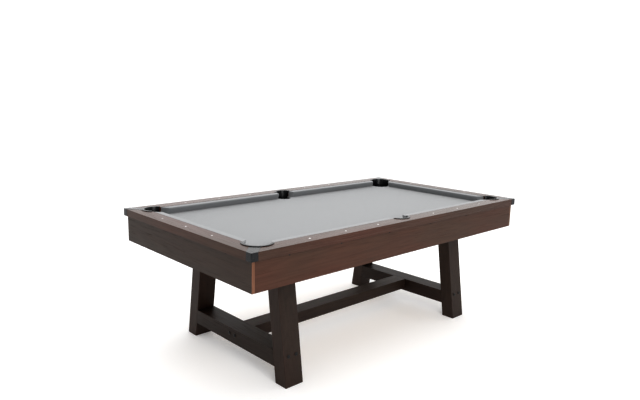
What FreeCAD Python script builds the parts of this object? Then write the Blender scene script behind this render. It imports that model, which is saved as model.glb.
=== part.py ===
import FreeCAD, Part
import math
import os

# Pool table, seven-foot size, in millimetres.
# Origin: centre of the footprint, on the floor. +X runs along the table, +Y across it, +Z up.
# "front" is the long side at -Y, "back" the long side at +Y, "left" the end at -X, "right" at +X.

Vector = FreeCAD.Vector

# ---- driving sizes: top -----------------------------------------------------
TABLE_LENGTH = 2194.0        # over the wooden rails, along X
TABLE_WIDTH = 1218.0         # over the wooden rails, along Y
TABLE_HEIGHT = 787.0         # floor to the top of the rails
RAIL_THICKNESS = 40.0
RAIL_WOOD_WIDTH = 88.0       # outside of the rail to the back of the cushion
RAIL_EDGE_RADIUS = 2.5
CUSHION_WIDTH = 42.0         # back of the cushion to its nose
BED_THICKNESS = 18.0
CLOTH_THICKNESS = 1.0

# ---- cushions, heights above the cloth --------------------------------------
NOSE_HEIGHT = 34.5
NOSE_LIP = 2.0               # height of the blunt nose
NOSE_ROUND = 3.0             # how far back the nose blends into the top
CUSHION_TOP_DROP = 0.6       # back of the cushion, below the rail top
CUSHION_UNDERCUT = 15.0      # foot of the cushion, behind its nose
CORNER_NOSE_SETBACK = 84.0   # crossing of two nose lines to the end of a nose
CORNER_FACING_RUN = 32.0     # along the rail, nose end to back end, at a corner
SIDE_NOSE_SETBACK = 63.0     # middle of the table to the end of a nose
SIDE_FACING_RUN = 10.5       # the same run at a side pocket

# ---- pockets ----------------------------------------------------------------
POCKET_WALL = 3.0
POCKET_FIT = 0.5             # clearance of a pocket in the rails and caps
BED_HOLE_FIT = 2.0           # clearance in the bed, where the cloth rolls in
BED_HOLE_ROUND = 3.0         # upper edge of the bed at a pocket
POCKET_DEPTH = 132.0         # cloth to the floor of the pocket
CUP_TOP_DROP = 6.0           # cloth to the edge of the cup, towards the play
FLANGE_RISE = 3.0
CORNER_CUP_RADIUS = 57.0     # inside
CORNER_FLANGE_WIDTH = 14.0
SIDE_CUP_RADIUS = 44.0
SIDE_FLANGE_WIDTH = 12.0
RIM_FLARE = 6.0              # cup to rim, inside, at the rail top
SIDE_POCKET_SETBACK = 29.0   # nose line to the centre of a side pocket

# ---- corner caps ------------------------------------------------------------
CAP_SKIRT = 38.0             # corner to the end of the cap, along each side
CAP_WALL = 3.0
CAP_PROUD = 1.0              # stands out from the rail's outer face
CAP_RISE = 0.6               # stands up from the rail's top
CAP_CORNER_RADIUS = 3.0
CAP_JOINT_GAP = 0.2
CAP_BOSS_RADIUS = 6.0
CAP_BOSS_INSET = 62.0        # corner of the table to the boss, along X and along Y

# ---- sights -----------------------------------------------------------------
SIGHT_RADIUS = 5.0
SIGHT_DEPTH = 2.0
SIDE_SPACES = 8              # sight spaces along the playing area
END_SPACES = 4

# ---- aprons and what backs them ---------------------------------------------
APRON_INSET = 15.0
APRON_THICKNESS = 15.0
APRON_DEPTH = 148.0
EDGE_BAND = 1.0
CLEAT_WIDTH = 20.0
CLEAT_DEPTH = 40.0
BLOCK_SIZE = 40.0
BLOCK_FOOT = 8.0             # apron's lower edge to the foot of a corner block
CUP_ROOM = 2.0               # room round a pocket cup, below the bed
JOIST_WIDTH = 40.0
JOIST_OFFSET = 300.0         # middle of the table to a joist
BEAM_DEPTH = 60.0            # joists and leg beams

# ---- legs and stretchers ----------------------------------------------------
LEG_WIDTH = 114.0            # along X
LEG_DEPTH = 85.0             # across Y, level
LEG_CENTRE_X = 721.0
LEG_FOOT_Y = 468.0           # outer face, at the floor
LEG_SPLAY = 8.0              # degrees from upright
LEG_EDGE_RADIUS = 2.5
CROSS_BOTTOM = 86.0
CROSS_DEPTH = 84.0
LONG_WIDTH = 104.0
LONG_DEPTH = 68.0

# ---- fasteners --------------------------------------------------------------
BOLT_RADIUS = 4.0
BOLT_HOLE = 4.3
BOLT_HEAD_RADIUS = 9.5
BOLT_HEAD_HEIGHT = 4.0
SMALL_HEAD_RADIUS = 7.5
SMALL_HEAD_HEIGHT = 5.0
NUT_RADIUS = 6.0
NUT_LENGTH = 22.0
NUT_FIT = 0.2
LEG_BOLT_SPACING = 50.0
LEG_BOLT_HEIGHT = 155.0      # on the leg's outer face
LEG_BOLT_GRIP = 40.0         # nut centre, beyond the leg's inner face
LONG_BOLT_SPACING = 52.0
LONG_BOLT_GRIP = 40.0
BEAM_BOLT_SPACING = 60.0
BEAM_BOLT_GRIP = 66.0        # nut centre, below the beam
NUT_DRILL_BEYOND = 4.0       # bottom of a nut's hole, past the nut
RAIL_BOLT_INSET = 64.0       # outside of the rail to its bolts
RAIL_BOLT_REACH = 18.0       # into the rail
INSERT_RADIUS = 6.0
INSERT_LENGTH = 15.0
SIDE_BOLT_STATIONS = (150.0, 450.0, 830.0)
END_BOLT_STATIONS = (120.0, 350.0)
SCREW_RADIUS = 2.5
SCREW_HEAD_RADIUS = 4.5
SCREW_HEAD_HEIGHT = 2.5
SCREW_LENGTH = 48.0
SCREW_BELOW_CLOTH = 7.0
SIDE_SCREW_STATIONS = (181.0, 540.0, 872.0)
END_SCREW_STATIONS = (0.0, 397.0)
WOOD_SCREW_RADIUS = 2.0
WOOD_SCREW_HEAD_RADIUS = 4.0
WOOD_SCREW_HEAD_HEIGHT = 1.5
BRACKET_SCREW_LENGTH = 11.0
BRACKET_THICKNESS = 3.0
BRACKET_LEG = 40.0
BRACKET_WIDTH = 80.0
BRACKET_SCREW_SPACING = 50.0

# ---- levelling feet ---------------------------------------------------------
PAD_RADIUS = 19.0
PAD_THICKNESS = 6.0
PAD_RECESS = 0.5             # foot of the wound-in pad, above the floor
PAD_ROOM = 1.5               # round the pad
PAD_TOP_GAP = 0.3
SOCKET_DEPTH = 3.0           # of the screw's end in the pad
STEM_RADIUS = 5.0
STEM_LENGTH = 42.0
STEM_FIT = 0.05
SLEEVE_RADIUS = 8.0
SLEEVE_LENGTH = 36.0
STEM_ROOM = 6.0              # above the wound-in screw

# ---- worked out from the driving sizes --------------------------------------
HALF_LENGTH = TABLE_LENGTH / 2
HALF_WIDTH = TABLE_WIDTH / 2
WOOD_X = HALF_LENGTH - RAIL_WOOD_WIDTH
WOOD_Y = HALF_WIDTH - RAIL_WOOD_WIDTH
NOSE_X = WOOD_X - CUSHION_WIDTH
NOSE_Y = WOOD_Y - CUSHION_WIDTH
CLOTH_TOP = TABLE_HEIGHT - RAIL_THICKNESS
BED_TOP = CLOTH_TOP - CLOTH_THICKNESS
BED_BOTTOM = BED_TOP - BED_THICKNESS
APRON_X = HALF_LENGTH - APRON_INSET
APRON_Y = HALF_WIDTH - APRON_INSET
APRON_BOTTOM = CLOTH_TOP - APRON_DEPTH
BED_X = APRON_X - APRON_THICKNESS
BED_Y = APRON_Y - APRON_THICKNESS
CLEAT_BOTTOM = BED_BOTTOM - CLEAT_DEPTH
BEAM_BOTTOM = BED_BOTTOM - BEAM_DEPTH
SIDE_POCKET_Y = NOSE_Y + SIDE_POCKET_SETBACK
CUP_FLOOR = CLOTH_TOP - POCKET_DEPTH
LEG_INNER_X = LEG_CENTRE_X - LEG_WIDTH / 2
LEG_OUTER_X = LEG_CENTRE_X + LEG_WIDTH / 2
CROSS_TOP = CROSS_BOTTOM + CROSS_DEPTH
LONG_BOTTOM = CROSS_TOP - LONG_DEPTH
SPLAY = math.tan(math.radians(LEG_SPLAY))
FAR = 4 * TABLE_LENGTH       # longer than anything on the table

SIDES = (("front", -1), ("back", 1))
ENDS = (("left", -1), ("right", 1))


# ---- small tools ------------------------------------------------------------
def block(x0, x1, y0, y1, z0, z1):
    """A box between two corners, given in any order."""
    low = Vector(min(x0, x1), min(y0, y1), min(z0, z1))
    return Part.makeBox(abs(x1 - x0), abs(y1 - y0), abs(z1 - z0), low)


def rod(start, direction, radius, length):
    """A cylinder from a point, along a direction."""
    return Part.makeCylinder(radius, length, start, direction)


def upright(x, y, z0, z1, radius):
    """A vertical cylinder between two heights."""
    return rod(Vector(x, y, z0), Vector(0, 0, 1), radius, z1 - z0)


def prism(outline, z0, z1):
    """A plan outline, raised between two heights."""
    points = [Vector(x, y, z0) for x, y in outline]
    wire = Part.makePolygon(points + [points[0]])
    return Part.Face(wire).extrude(Vector(0, 0, z1 - z0))


def bar_along_x(outline, x0, x1):
    """An outline in Y and Z, drawn out along X."""
    points = [Vector(x0, y, z) for y, z in outline]
    wire = Part.makePolygon(points + [points[0]])
    return Part.Face(wire).extrude(Vector(x1 - x0, 0, 0))


def flipped(shape, end, side):
    """A shape made for the back right corner, mirrored to another one."""
    if end < 0:
        shape = shape.mirror(Vector(0, 0, 0), Vector(1, 0, 0))
    if side < 0:
        shape = shape.mirror(Vector(0, 0, 0), Vector(0, 1, 0))
    return shape


def cut_all(shape, tools):
    """A shape with every tool taken out of it."""
    return shape.cut(tools) if tools else shape


def rounded(shape, radius, wanted):
    """Fillets the straight edges whose two ends both pass the test."""
    edges = [e for e in shape.Edges if all(wanted(v.Point) for v in e.Vertexes)]
    return shape.makeFillet(radius, edges)


def near(a, b):
    return abs(a - b) < 1e-6


def both_ways(values):
    """The values and their negatives, each once."""
    return sorted(set(values) | set(-v for v in values))


# ---- where the fasteners go -------------------------------------------------
RAIL_BOLT_X = HALF_LENGTH - RAIL_BOLT_INSET
RAIL_BOLT_Y = HALF_WIDTH - RAIL_BOLT_INSET
RAIL_BOLT_PLACES = [
    (x, side * RAIL_BOLT_Y) for side in (-1, 1) for x in both_ways(SIDE_BOLT_STATIONS)
] + [
    (end * RAIL_BOLT_X, y) for end in (-1, 1) for y in both_ways(END_BOLT_STATIONS)
]
CAP_SCREW_PLACES = [
    (end * (HALF_LENGTH - CAP_BOSS_INSET), side * (HALF_WIDTH - CAP_BOSS_INSET))
    for end in (-1, 1)
    for side in (-1, 1)
]
SCREW_Z = CLOTH_TOP - SCREW_BELOW_CLOTH


def apron_screw_places():
    """Start on the apron's outer face and inward direction of each apron screw."""
    places = []
    for side in (-1, 1):
        for x in both_ways(SIDE_SCREW_STATIONS):
            places.append((Vector(x, side * APRON_Y, SCREW_Z), Vector(0, -side, 0)))
    for end in (-1, 1):
        for y in both_ways(END_SCREW_STATIONS):
            places.append((Vector(end * APRON_X, y, SCREW_Z), Vector(-end, 0, 0)))
    return places


def apron_screw(start, inward):
    """A countersunk furniture screw with its head flush with the apron."""
    head = Part.makeCone(
        SCREW_HEAD_RADIUS, SCREW_RADIUS, SCREW_HEAD_HEIGHT, start, inward
    )
    return head.fuse(rod(start, inward, SCREW_RADIUS, SCREW_LENGTH)).removeSplitter()


APRON_SCREWS = [apron_screw(start, inward) for start, inward in apron_screw_places()]


# ---- bed --------------------------------------------------------------------
def pocket_places():
    """Centre, outward angle and kind of each pocket, named."""
    places = {}
    for side_name, side in SIDES:
        for end_name, end in ENDS:
            outward = math.degrees(math.atan2(side, end))
            centre = (end * NOSE_X, side * NOSE_Y)
            places[f"{side_name}_{end_name}"] = (centre, outward, "corner")
        centre = (0.0, side * SIDE_POCKET_Y)
        places[f"{side_name}_middle"] = (centre, 90.0 * side, "side")
    return places


POCKETS = pocket_places()


def cup_radius(kind):
    return CORNER_CUP_RADIUS if kind == "corner" else SIDE_CUP_RADIUS


def rim_radius(kind):
    return cup_radius(kind) + RIM_FLARE


def flange_width(kind):
    return CORNER_FLANGE_WIDTH if kind == "corner" else SIDE_FLANGE_WIDTH


def cup_holes(z0, z1, room):
    """Cylinders that clear the six pocket cups by the given room."""
    return [
        upright(x, y, z0, z1, cup_radius(kind) + POCKET_WALL + room)
        for (x, y), _, kind in POCKETS.values()
    ]


def rim_holes(z0, z1):
    """Cylinders that clear the pocket walls inside the rails."""
    return [
        upright(x, y, z0, z1, rim_radius(kind) + POCKET_WALL + POCKET_FIT)
        for (x, y), _, kind in POCKETS.values()
    ]


def on_a_hole_top(point):
    """Whether a point of the panel is on its top but not on its outline."""
    return near(point.z, BED_TOP) and abs(point.x) < BED_X - 1 and abs(point.y) < BED_Y - 1


def bed_panel():
    panel = block(-BED_X, BED_X, -BED_Y, BED_Y, BED_BOTTOM, BED_TOP)
    panel = cut_all(panel, cup_holes(BED_BOTTOM - 1, BED_TOP + 1, BED_HOLE_FIT))
    panel = rounded(panel, BED_HOLE_ROUND, on_a_hole_top)
    tools = []
    for x, y in RAIL_BOLT_PLACES:
        tools.append(upright(x, y, BED_BOTTOM - 1, BED_TOP + 1, BOLT_HOLE))
    for x, y in CAP_SCREW_PLACES:
        tools.append(upright(x, y, BED_BOTTOM - 1, BED_TOP + 1, WOOD_SCREW_RADIUS))
    return cut_all(panel, tools + APRON_SCREWS)


def bed_cloth():
    cloth = block(-BED_X, BED_X, -BED_Y, BED_Y, BED_TOP, CLOTH_TOP)
    tools = cup_holes(BED_TOP - 1, CLOTH_TOP + 1, BED_HOLE_FIT)
    for x, y in RAIL_BOLT_PLACES:
        tools.append(upright(x, y, BED_TOP - 1, CLOTH_TOP + 1, BOLT_HOLE))
    for x, y in CAP_SCREW_PLACES:
        tools.append(upright(x, y, BED_TOP - 1, CLOTH_TOP + 1, WOOD_SCREW_RADIUS))
    return cut_all(cloth, tools)


# ---- rails ------------------------------------------------------------------
def sight_places():
    """Centres of the sights: none where a pocket is."""
    places = []
    inset = RAIL_WOOD_WIDTH / 2
    along = 2 * NOSE_X / SIDE_SPACES
    across = 2 * NOSE_Y / END_SPACES
    for side in (-1, 1):
        for n in range(1, SIDE_SPACES):
            if n != SIDE_SPACES // 2:
                places.append((n * along - NOSE_X, side * (HALF_WIDTH - inset)))
    for end in (-1, 1):
        for n in range(1, END_SPACES):
            places.append((end * (HALF_LENGTH - inset), n * across - NOSE_Y))
    return places


def sights(extra):
    """The sights, drawn out above the rail by an extra height for cutting."""
    z0 = TABLE_HEIGHT - SIGHT_DEPTH
    z1 = TABLE_HEIGHT + extra
    return [upright(x, y, z0, z1, SIGHT_RADIUS) for x, y in sight_places()]


def rail_outline(half_outer_length, half_outer_width):
    """Plan of the rail at +Y, ended by the slanting edges of two caps."""
    end = half_outer_length - CAP_SKIRT - CAP_JOINT_GAP
    inner_end = end - RAIL_WOOD_WIDTH
    inner = half_outer_width - RAIL_WOOD_WIDTH
    return [
        (-end, half_outer_width),
        (end, half_outer_width),
        (inner_end, inner),
        (-inner_end, inner),
    ]


def rail_tools():
    tools = rim_holes(CLOTH_TOP - 1, TABLE_HEIGHT + 1) + sights(1)
    for x, y in RAIL_BOLT_PLACES:
        hole_top = CLOTH_TOP + RAIL_BOLT_REACH + 1
        tools.append(upright(x, y, CLOTH_TOP - 1, hole_top, BOLT_HOLE))
        insert_top = CLOTH_TOP + INSERT_LENGTH
        tools.append(upright(x, y, CLOTH_TOP - 1, insert_top, INSERT_RADIUS))
    return tools


def side_rail(side):
    outline = rail_outline(HALF_LENGTH, HALF_WIDTH)
    rail = prism(outline, CLOTH_TOP, TABLE_HEIGHT)
    rail = rounded(rail, RAIL_EDGE_RADIUS, lambda p: near(p.y, HALF_WIDTH)
                   and near(p.z, TABLE_HEIGHT))
    return cut_all(flipped(rail, 1, side), rail_tools())


def end_rail(end):
    outline = rail_outline(HALF_WIDTH, HALF_LENGTH)
    turned = [(y, -x) for x, y in outline]
    rail = prism(turned, CLOTH_TOP, TABLE_HEIGHT)
    rail = rounded(rail, RAIL_EDGE_RADIUS, lambda p: near(p.x, HALF_LENGTH)
                   and near(p.z, TABLE_HEIGHT))
    return cut_all(flipped(rail, end, 1), rail_tools())


# ---- cushions ---------------------------------------------------------------
def cushion_section():
    """Distance behind the nose and height of each corner of the cushion."""
    return [
        (CUSHION_UNDERCUT, CLOTH_TOP),
        (CUSHION_WIDTH, CLOTH_TOP),
        (CUSHION_WIDTH, TABLE_HEIGHT - CUSHION_TOP_DROP),
        (NOSE_ROUND, CLOTH_TOP + NOSE_HEIGHT + NOSE_LIP),
        (0.0, CLOTH_TOP + NOSE_HEIGHT),
        (0.0, CLOTH_TOP + NOSE_HEIGHT - NOSE_LIP),
    ]


def cushion(nose, start, end, start_run, end_run):
    """A cushion at +Y: its nose line, where its nose starts and ends along X, and how far
    its back runs on past the nose at each end."""
    outline = [(nose + d, z) for d, z in cushion_section()]
    bar = bar_along_x(outline, start - start_run, end + end_run)
    back = nose + CUSHION_WIDTH
    plan = [(start, nose), (end, nose), (end + end_run, back), (start - start_run, back)]
    return bar.common(prism(plan, CLOTH_TOP - 1, TABLE_HEIGHT + 1))


def side_cushion(end, side):
    far = NOSE_X - CORNER_NOSE_SETBACK
    shape = cushion(NOSE_Y, SIDE_NOSE_SETBACK, far, SIDE_FACING_RUN, CORNER_FACING_RUN)
    return flipped(shape, end, side)


def end_cushion(end):
    far = NOSE_Y - CORNER_NOSE_SETBACK
    shape = cushion(NOSE_X, -far, far, CORNER_FACING_RUN, CORNER_FACING_RUN)
    shape.rotate(Vector(0, 0, 0), Vector(0, 0, 1), -90)
    return flipped(shape, end, 1)


# ---- corner caps ------------------------------------------------------------
def cap_outline(wall, proud):
    """Plan of the back right cap, inset by a wall: a band across the corner at 45 degrees,
    running on under the pocket, where the rim hole ends it."""
    skirt = CAP_SKIRT - wall * math.sqrt(2)
    reach = RAIL_WOOD_WIDTH + CUSHION_WIDTH - CAP_SKIRT
    edge = wall - proud
    spots = [
        (edge, edge),
        (skirt + edge, edge),
        (skirt + reach, reach),
        (reach, skirt + reach),
        (edge, skirt + edge),
    ]
    return [(HALF_LENGTH - dx, HALF_WIDTH - dy) for dx, dy in spots]


def corner_cap(end, side):
    top = TABLE_HEIGHT + CAP_RISE
    shell = prism(cap_outline(0.0, CAP_PROUD), CLOTH_TOP, top)
    corner_x = HALF_LENGTH + CAP_PROUD
    corner_y = HALF_WIDTH + CAP_PROUD
    shell = rounded(shell, CAP_CORNER_RADIUS, lambda p: near(p.x, corner_x) and near(p.y, corner_y))
    hole = rim_radius("corner") + POCKET_WALL + POCKET_FIT
    shell = shell.cut(upright(NOSE_X, NOSE_Y, CLOTH_TOP - 1, top + 1, hole))
    hollow = prism(cap_outline(CAP_WALL, CAP_PROUD), CLOTH_TOP - 1, top - CAP_WALL)
    hollow = hollow.cut(upright(NOSE_X, NOSE_Y, CLOTH_TOP - 2, top, hole + CAP_WALL))
    boss_x = HALF_LENGTH - CAP_BOSS_INSET
    boss_y = HALF_WIDTH - CAP_BOSS_INSET
    boss = upright(boss_x, boss_y, CLOTH_TOP, top - CAP_WALL, CAP_BOSS_RADIUS)
    pilot = upright(boss_x, boss_y, CLOTH_TOP - 1, top - 2 * CAP_WALL, WOOD_SCREW_RADIUS)
    return flipped(shell.cut(hollow).fuse(boss).cut(pilot), end, side)


# ---- pockets ----------------------------------------------------------------
def turned(profile, centre, start, sweep):
    """A profile of radius and height, turned about an upright axis."""
    points = [Vector(r, 0, z) for r, z in profile]
    face = Part.Face(Part.makePolygon(points + [points[0]]))
    face.rotate(Vector(0, 0, 0), Vector(0, 0, 1), start)
    solid = face.revolve(Vector(0, 0, 0), Vector(0, 0, 1), sweep)
    solid.translate(Vector(centre[0], centre[1], 0))
    return solid


def pocket(name):
    """A moulded pocket: a round cup through the bed, a funnel behind it inside the rail, and
    a flange that lies on the rail."""
    centre, outward, kind = POCKETS[name]
    cup = cup_radius(kind)
    rim = rim_radius(kind)
    flange = rim + flange_width(kind)
    cup_top = CLOTH_TOP - CUP_TOP_DROP
    seat = TABLE_HEIGHT + (CAP_RISE if kind == "corner" else 0.0)
    flange_top = seat + FLANGE_RISE
    cup_profile = [
        (0, CUP_FLOOR),
        (0, CUP_FLOOR - POCKET_WALL),
        (cup + POCKET_WALL, CUP_FLOOR - POCKET_WALL),
        (cup + POCKET_WALL, cup_top),
        (cup, cup_top),
        (cup, CUP_FLOOR),
    ]
    funnel_profile = [
        (cup, cup_top),
        (cup + POCKET_WALL, cup_top),
        (cup + POCKET_WALL, CLOTH_TOP),
        (rim + POCKET_WALL, seat),
        (flange, seat),
        (flange, flange_top),
        (rim, flange_top),
        (cup, CLOTH_TOP),
    ]
    bowl = turned(cup_profile, centre, 0, 360)
    funnel = turned(funnel_profile, centre, outward - 90, 180)
    if kind == "side":
        side = 1 if outward > 0 else -1
        funnel = funnel.cut(block(-FAR, FAR, 0, side * WOOD_Y, CLOTH_TOP, flange_top + 1))
    return bowl.fuse(funnel).removeSplitter()


# ---- aprons -----------------------------------------------------------------
def side_apron(side):
    outer = side * APRON_Y
    board = block(-BED_X, BED_X, outer, outer - side * APRON_THICKNESS, APRON_BOTTOM, CLOTH_TOP)
    return cut_all(board, APRON_SCREWS + bracket_pilots())


def end_apron(end):
    outer = end * APRON_X
    half = APRON_Y - EDGE_BAND
    board = block(outer, outer - end * APRON_THICKNESS, -half, half, APRON_BOTTOM, CLOTH_TOP)
    return cut_all(board, APRON_SCREWS)


def apron_edge_bands():
    """Thin strips over the cut ends of the end aprons, seen from the long sides."""
    return [
        block(end * APRON_X, end * BED_X, side * APRON_Y, side * (APRON_Y - EDGE_BAND),
              APRON_BOTTOM, CLOTH_TOP)
        for end in (-1, 1)
        for side in (-1, 1)
    ]


def apron_corner_blocks():
    foot = APRON_BOTTOM + BLOCK_FOOT
    shape = block(BED_X - BLOCK_SIZE, BED_X, BED_Y - BLOCK_SIZE, BED_Y, foot, CLEAT_BOTTOM)
    shape = cut_all(shape, cup_holes(foot - 1, CLEAT_BOTTOM + 1, CUP_ROOM))
    return [flipped(shape, end, side) for end in (-1, 1) for side in (-1, 1)]


def beams_plan():
    """Low and high X of the joists and of the leg beams."""
    joists = [
        (end * JOIST_OFFSET - JOIST_WIDTH / 2, end * JOIST_OFFSET + JOIST_WIDTH / 2)
        for end in (-1, 1)
    ]
    beams = [
        (end * LEG_CENTRE_X - LEG_WIDTH / 2, end * LEG_CENTRE_X + LEG_WIDTH / 2)
        for end in (-1, 1)
    ]
    return joists + beams


def bed_cleats():
    """Battens round the inside of the aprons, under the bed, stopped at joists and beams."""
    tools = [
        block(x0, x1, -BED_Y - 1, BED_Y + 1, CLEAT_BOTTOM - 1, BED_BOTTOM + 1)
        for x0, x1 in beams_plan()
    ]
    tools += cup_holes(CLEAT_BOTTOM - 1, BED_BOTTOM + 1, CUP_ROOM)
    solids = []
    for side in (-1, 1):
        inner = side * (BED_Y - CLEAT_WIDTH)
        cleat = block(-BED_X, BED_X, side * BED_Y, inner, CLEAT_BOTTOM, BED_BOTTOM)
        solids += cut_all(cleat, tools).Solids
    half = BED_Y - CLEAT_WIDTH
    for end in (-1, 1):
        inner = end * (BED_X - CLEAT_WIDTH)
        cleat = block(end * BED_X, inner, -half, half, CLEAT_BOTTOM, BED_BOTTOM)
        solids += cut_all(cleat, tools).Solids
    return solids


def bed_joist(end):
    x0 = end * JOIST_OFFSET - JOIST_WIDTH / 2
    return block(x0, x0 + JOIST_WIDTH, -BED_Y, BED_Y, BEAM_BOTTOM, BED_BOTTOM)


# ---- leg frames -------------------------------------------------------------
def leg_face_y(z, inner=False):
    """Distance from the middle plane of a leg's outer or inner face at a height."""
    return LEG_FOOT_Y - SPLAY * z - (LEG_DEPTH if inner else 0.0)


def leg_middle_y(z):
    return leg_face_y(z) - LEG_DEPTH / 2


def frame_bolt_places():
    """Heads of the two bolts that hold a leg to its cross stretcher, back right leg."""
    tilt = math.radians(LEG_SPLAY)
    inward = Vector(0, -math.cos(tilt), -math.sin(tilt))
    y = leg_face_y(LEG_BOLT_HEIGHT)
    half = LEG_BOLT_SPACING / 2
    return [(Vector(LEG_CENTRE_X + s * half, y, LEG_BOLT_HEIGHT), inward) for s in (-1, 1)]


FRAME_BOLT_TO_NUT = LEG_DEPTH * math.cos(math.radians(LEG_SPLAY)) + LEG_BOLT_GRIP
LONG_BOLT_Z = (LONG_BOTTOM + CROSS_TOP) / 2
LONG_BOLT_TO_NUT = LEG_WIDTH + LONG_BOLT_GRIP


def frame_nut_spots():
    return [start + inward * FRAME_BOLT_TO_NUT for start, inward in frame_bolt_places()]


def upright_nut(spot):
    """A barrel nut standing on its end, centred on the bolt."""
    low = spot - Vector(0, 0, NUT_LENGTH / 2)
    return rod(low, Vector(0, 0, 1), NUT_RADIUS, NUT_LENGTH)


def nut_drilling_from(z, spot):
    """The hole for an upright barrel nut, drilled up from a face below it."""
    top = spot.z + NUT_LENGTH / 2 + NUT_DRILL_BEYOND
    return upright(spot.x, spot.y, z - 1, top, NUT_RADIUS + NUT_FIT)


def leg_beam_bolt_spots():
    """The two upright bolts from a leg beam into the back right leg."""
    nut_z = BEAM_BOTTOM - BEAM_BOLT_GRIP
    y = leg_middle_y(nut_z)
    half = BEAM_BOLT_SPACING / 2
    return [Vector(LEG_CENTRE_X + s * half, y, nut_z) for s in (-1, 1)]


def leveler_y():
    return leg_middle_y(0.0)


PAD_TOP = PAD_RECESS + PAD_THICKNESS
RECESS_TOP = PAD_TOP + PAD_TOP_GAP
SLEEVE_TOP = RECESS_TOP + SLEEVE_LENGTH
STEM_BOTTOM = PAD_TOP - SOCKET_DEPTH
STEM_TOP = STEM_BOTTOM + STEM_LENGTH


def leg(end, side):
    outline = [
        (leg_face_y(0.0), 0.0),
        (leg_face_y(0.0, inner=True), 0.0),
        (leg_face_y(BEAM_BOTTOM, inner=True), BEAM_BOTTOM),
        (leg_face_y(BEAM_BOTTOM), BEAM_BOTTOM),
    ]
    post = bar_along_x(outline, LEG_INNER_X, LEG_OUTER_X)
    long_edges = [e for e in post.Edges if e.Length > BEAM_BOTTOM - 1]
    post = post.makeFillet(LEG_EDGE_RADIUS, long_edges)
    tools = []
    for start, inward in frame_bolt_places():
        tools.append(rod(start - inward, inward, BOLT_HOLE, LEG_DEPTH + LEG_BOLT_GRIP))
    for spot in leg_beam_bolt_spots():
        foot = spot.z - NUT_RADIUS - NUT_DRILL_BEYOND
        tools.append(upright(spot.x, spot.y, foot, BEAM_BOTTOM + 1, BOLT_HOLE))
        depth = LEG_DEPTH / 2 + NUT_LENGTH / 2 + NUT_DRILL_BEYOND
        start = Vector(spot.x, spot.y + NUT_LENGTH / 2 + NUT_DRILL_BEYOND, spot.z)
        tools.append(rod(start, Vector(0, -1, 0), NUT_RADIUS + NUT_FIT, depth + NUT_LENGTH))
    y = leveler_y()
    tools.append(upright(LEG_CENTRE_X, y, -1, RECESS_TOP, PAD_RADIUS + PAD_ROOM))
    tools.append(upright(LEG_CENTRE_X, y, 0, SLEEVE_TOP, SLEEVE_RADIUS))
    tools.append(upright(LEG_CENTRE_X, y, 0, STEM_TOP + STEM_ROOM, STEM_RADIUS + STEM_FIT))
    return flipped(cut_all(post, tools), end, side)


def cross_stretcher(end):
    """The rail between two legs: its ends follow the legs' slant."""
    low = leg_face_y(CROSS_BOTTOM, inner=True)
    high = leg_face_y(CROSS_TOP, inner=True)
    outline = [(-low, CROSS_BOTTOM), (low, CROSS_BOTTOM), (high, CROSS_TOP), (-high, CROSS_TOP)]
    bar = bar_along_x(outline, LEG_INNER_X, LEG_OUTER_X)
    tools = []
    for start, inward in frame_bolt_places():
        reach = FRAME_BOLT_TO_NUT + NUT_RADIUS + NUT_DRILL_BEYOND
        tools.append(rod(start, inward, BOLT_HOLE, reach))
    for spot in frame_nut_spots():
        tools.append(nut_drilling_from(CROSS_BOTTOM, spot))
    tools += [tool.mirror(Vector(0, 0, 0), Vector(0, 1, 0)) for tool in tools]
    for start in long_bolt_starts():
        tools.append(rod(start + Vector(1, 0, 0), Vector(-1, 0, 0), BOLT_HOLE, LEG_WIDTH + 2))
    return flipped(cut_all(bar, tools), end, 1)


def long_bolt_starts():
    """Heads of the two bolts through the right cross stretcher into the long one."""
    half = LONG_BOLT_SPACING / 2
    return [Vector(LEG_OUTER_X, s * half, LONG_BOLT_Z) for s in (-1, 1)]


def long_nut_spots():
    return [start - Vector(LONG_BOLT_TO_NUT, 0, 0) for start in long_bolt_starts()]


def long_stretcher():
    half = LONG_WIDTH / 2
    bar = block(-LEG_INNER_X, LEG_INNER_X, -half, half, LONG_BOTTOM, CROSS_TOP)
    tools = []
    for start in long_bolt_starts():
        reach = LONG_BOLT_TO_NUT + NUT_RADIUS + NUT_DRILL_BEYOND
        tools.append(rod(start, Vector(-1, 0, 0), BOLT_HOLE, reach))
    for spot in long_nut_spots():
        tools.append(nut_drilling_from(LONG_BOTTOM, spot))
    tools += [tool.mirror(Vector(0, 0, 0), Vector(1, 0, 0)) for tool in tools]
    return cut_all(bar, tools)


def leg_beam(end):
    beam = block(LEG_INNER_X, LEG_OUTER_X, -BED_Y, BED_Y, BEAM_BOTTOM, BED_BOTTOM)
    tools = []
    for spot in leg_beam_bolt_spots():
        for side in (-1, 1):
            y = side * spot.y
            tools.append(upright(spot.x, y, BEAM_BOTTOM - 1, BED_BOTTOM + 1, BOLT_HOLE))
            seat = BED_BOTTOM - SMALL_HEAD_HEIGHT
            tools.append(upright(spot.x, y, seat, BED_BOTTOM + 1, SMALL_HEAD_RADIUS + NUT_FIT))
    return cut_all(flipped(cut_all(beam, tools), end, 1), bracket_pilots())


# ---- fasteners --------------------------------------------------------------
def headed_bolt(start, inward, head_radius, head_height, length):
    """A bolt whose head stands on a face at start and whose shank goes inward."""
    head = rod(start - inward * head_height, inward, head_radius, head_height)
    return head.fuse(rod(start, inward, BOLT_RADIUS, length)).removeSplitter()


def in_each_corner(shapes):
    return [flipped(s, end, side) for end in (-1, 1) for side in (-1, 1) for s in shapes]


def stretcher_bolts():
    length = FRAME_BOLT_TO_NUT + NUT_RADIUS
    bolts = [
        headed_bolt(start, inward, BOLT_HEAD_RADIUS, BOLT_HEAD_HEIGHT, length)
        for start, inward in frame_bolt_places()
    ]
    return in_each_corner(bolts)


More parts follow.
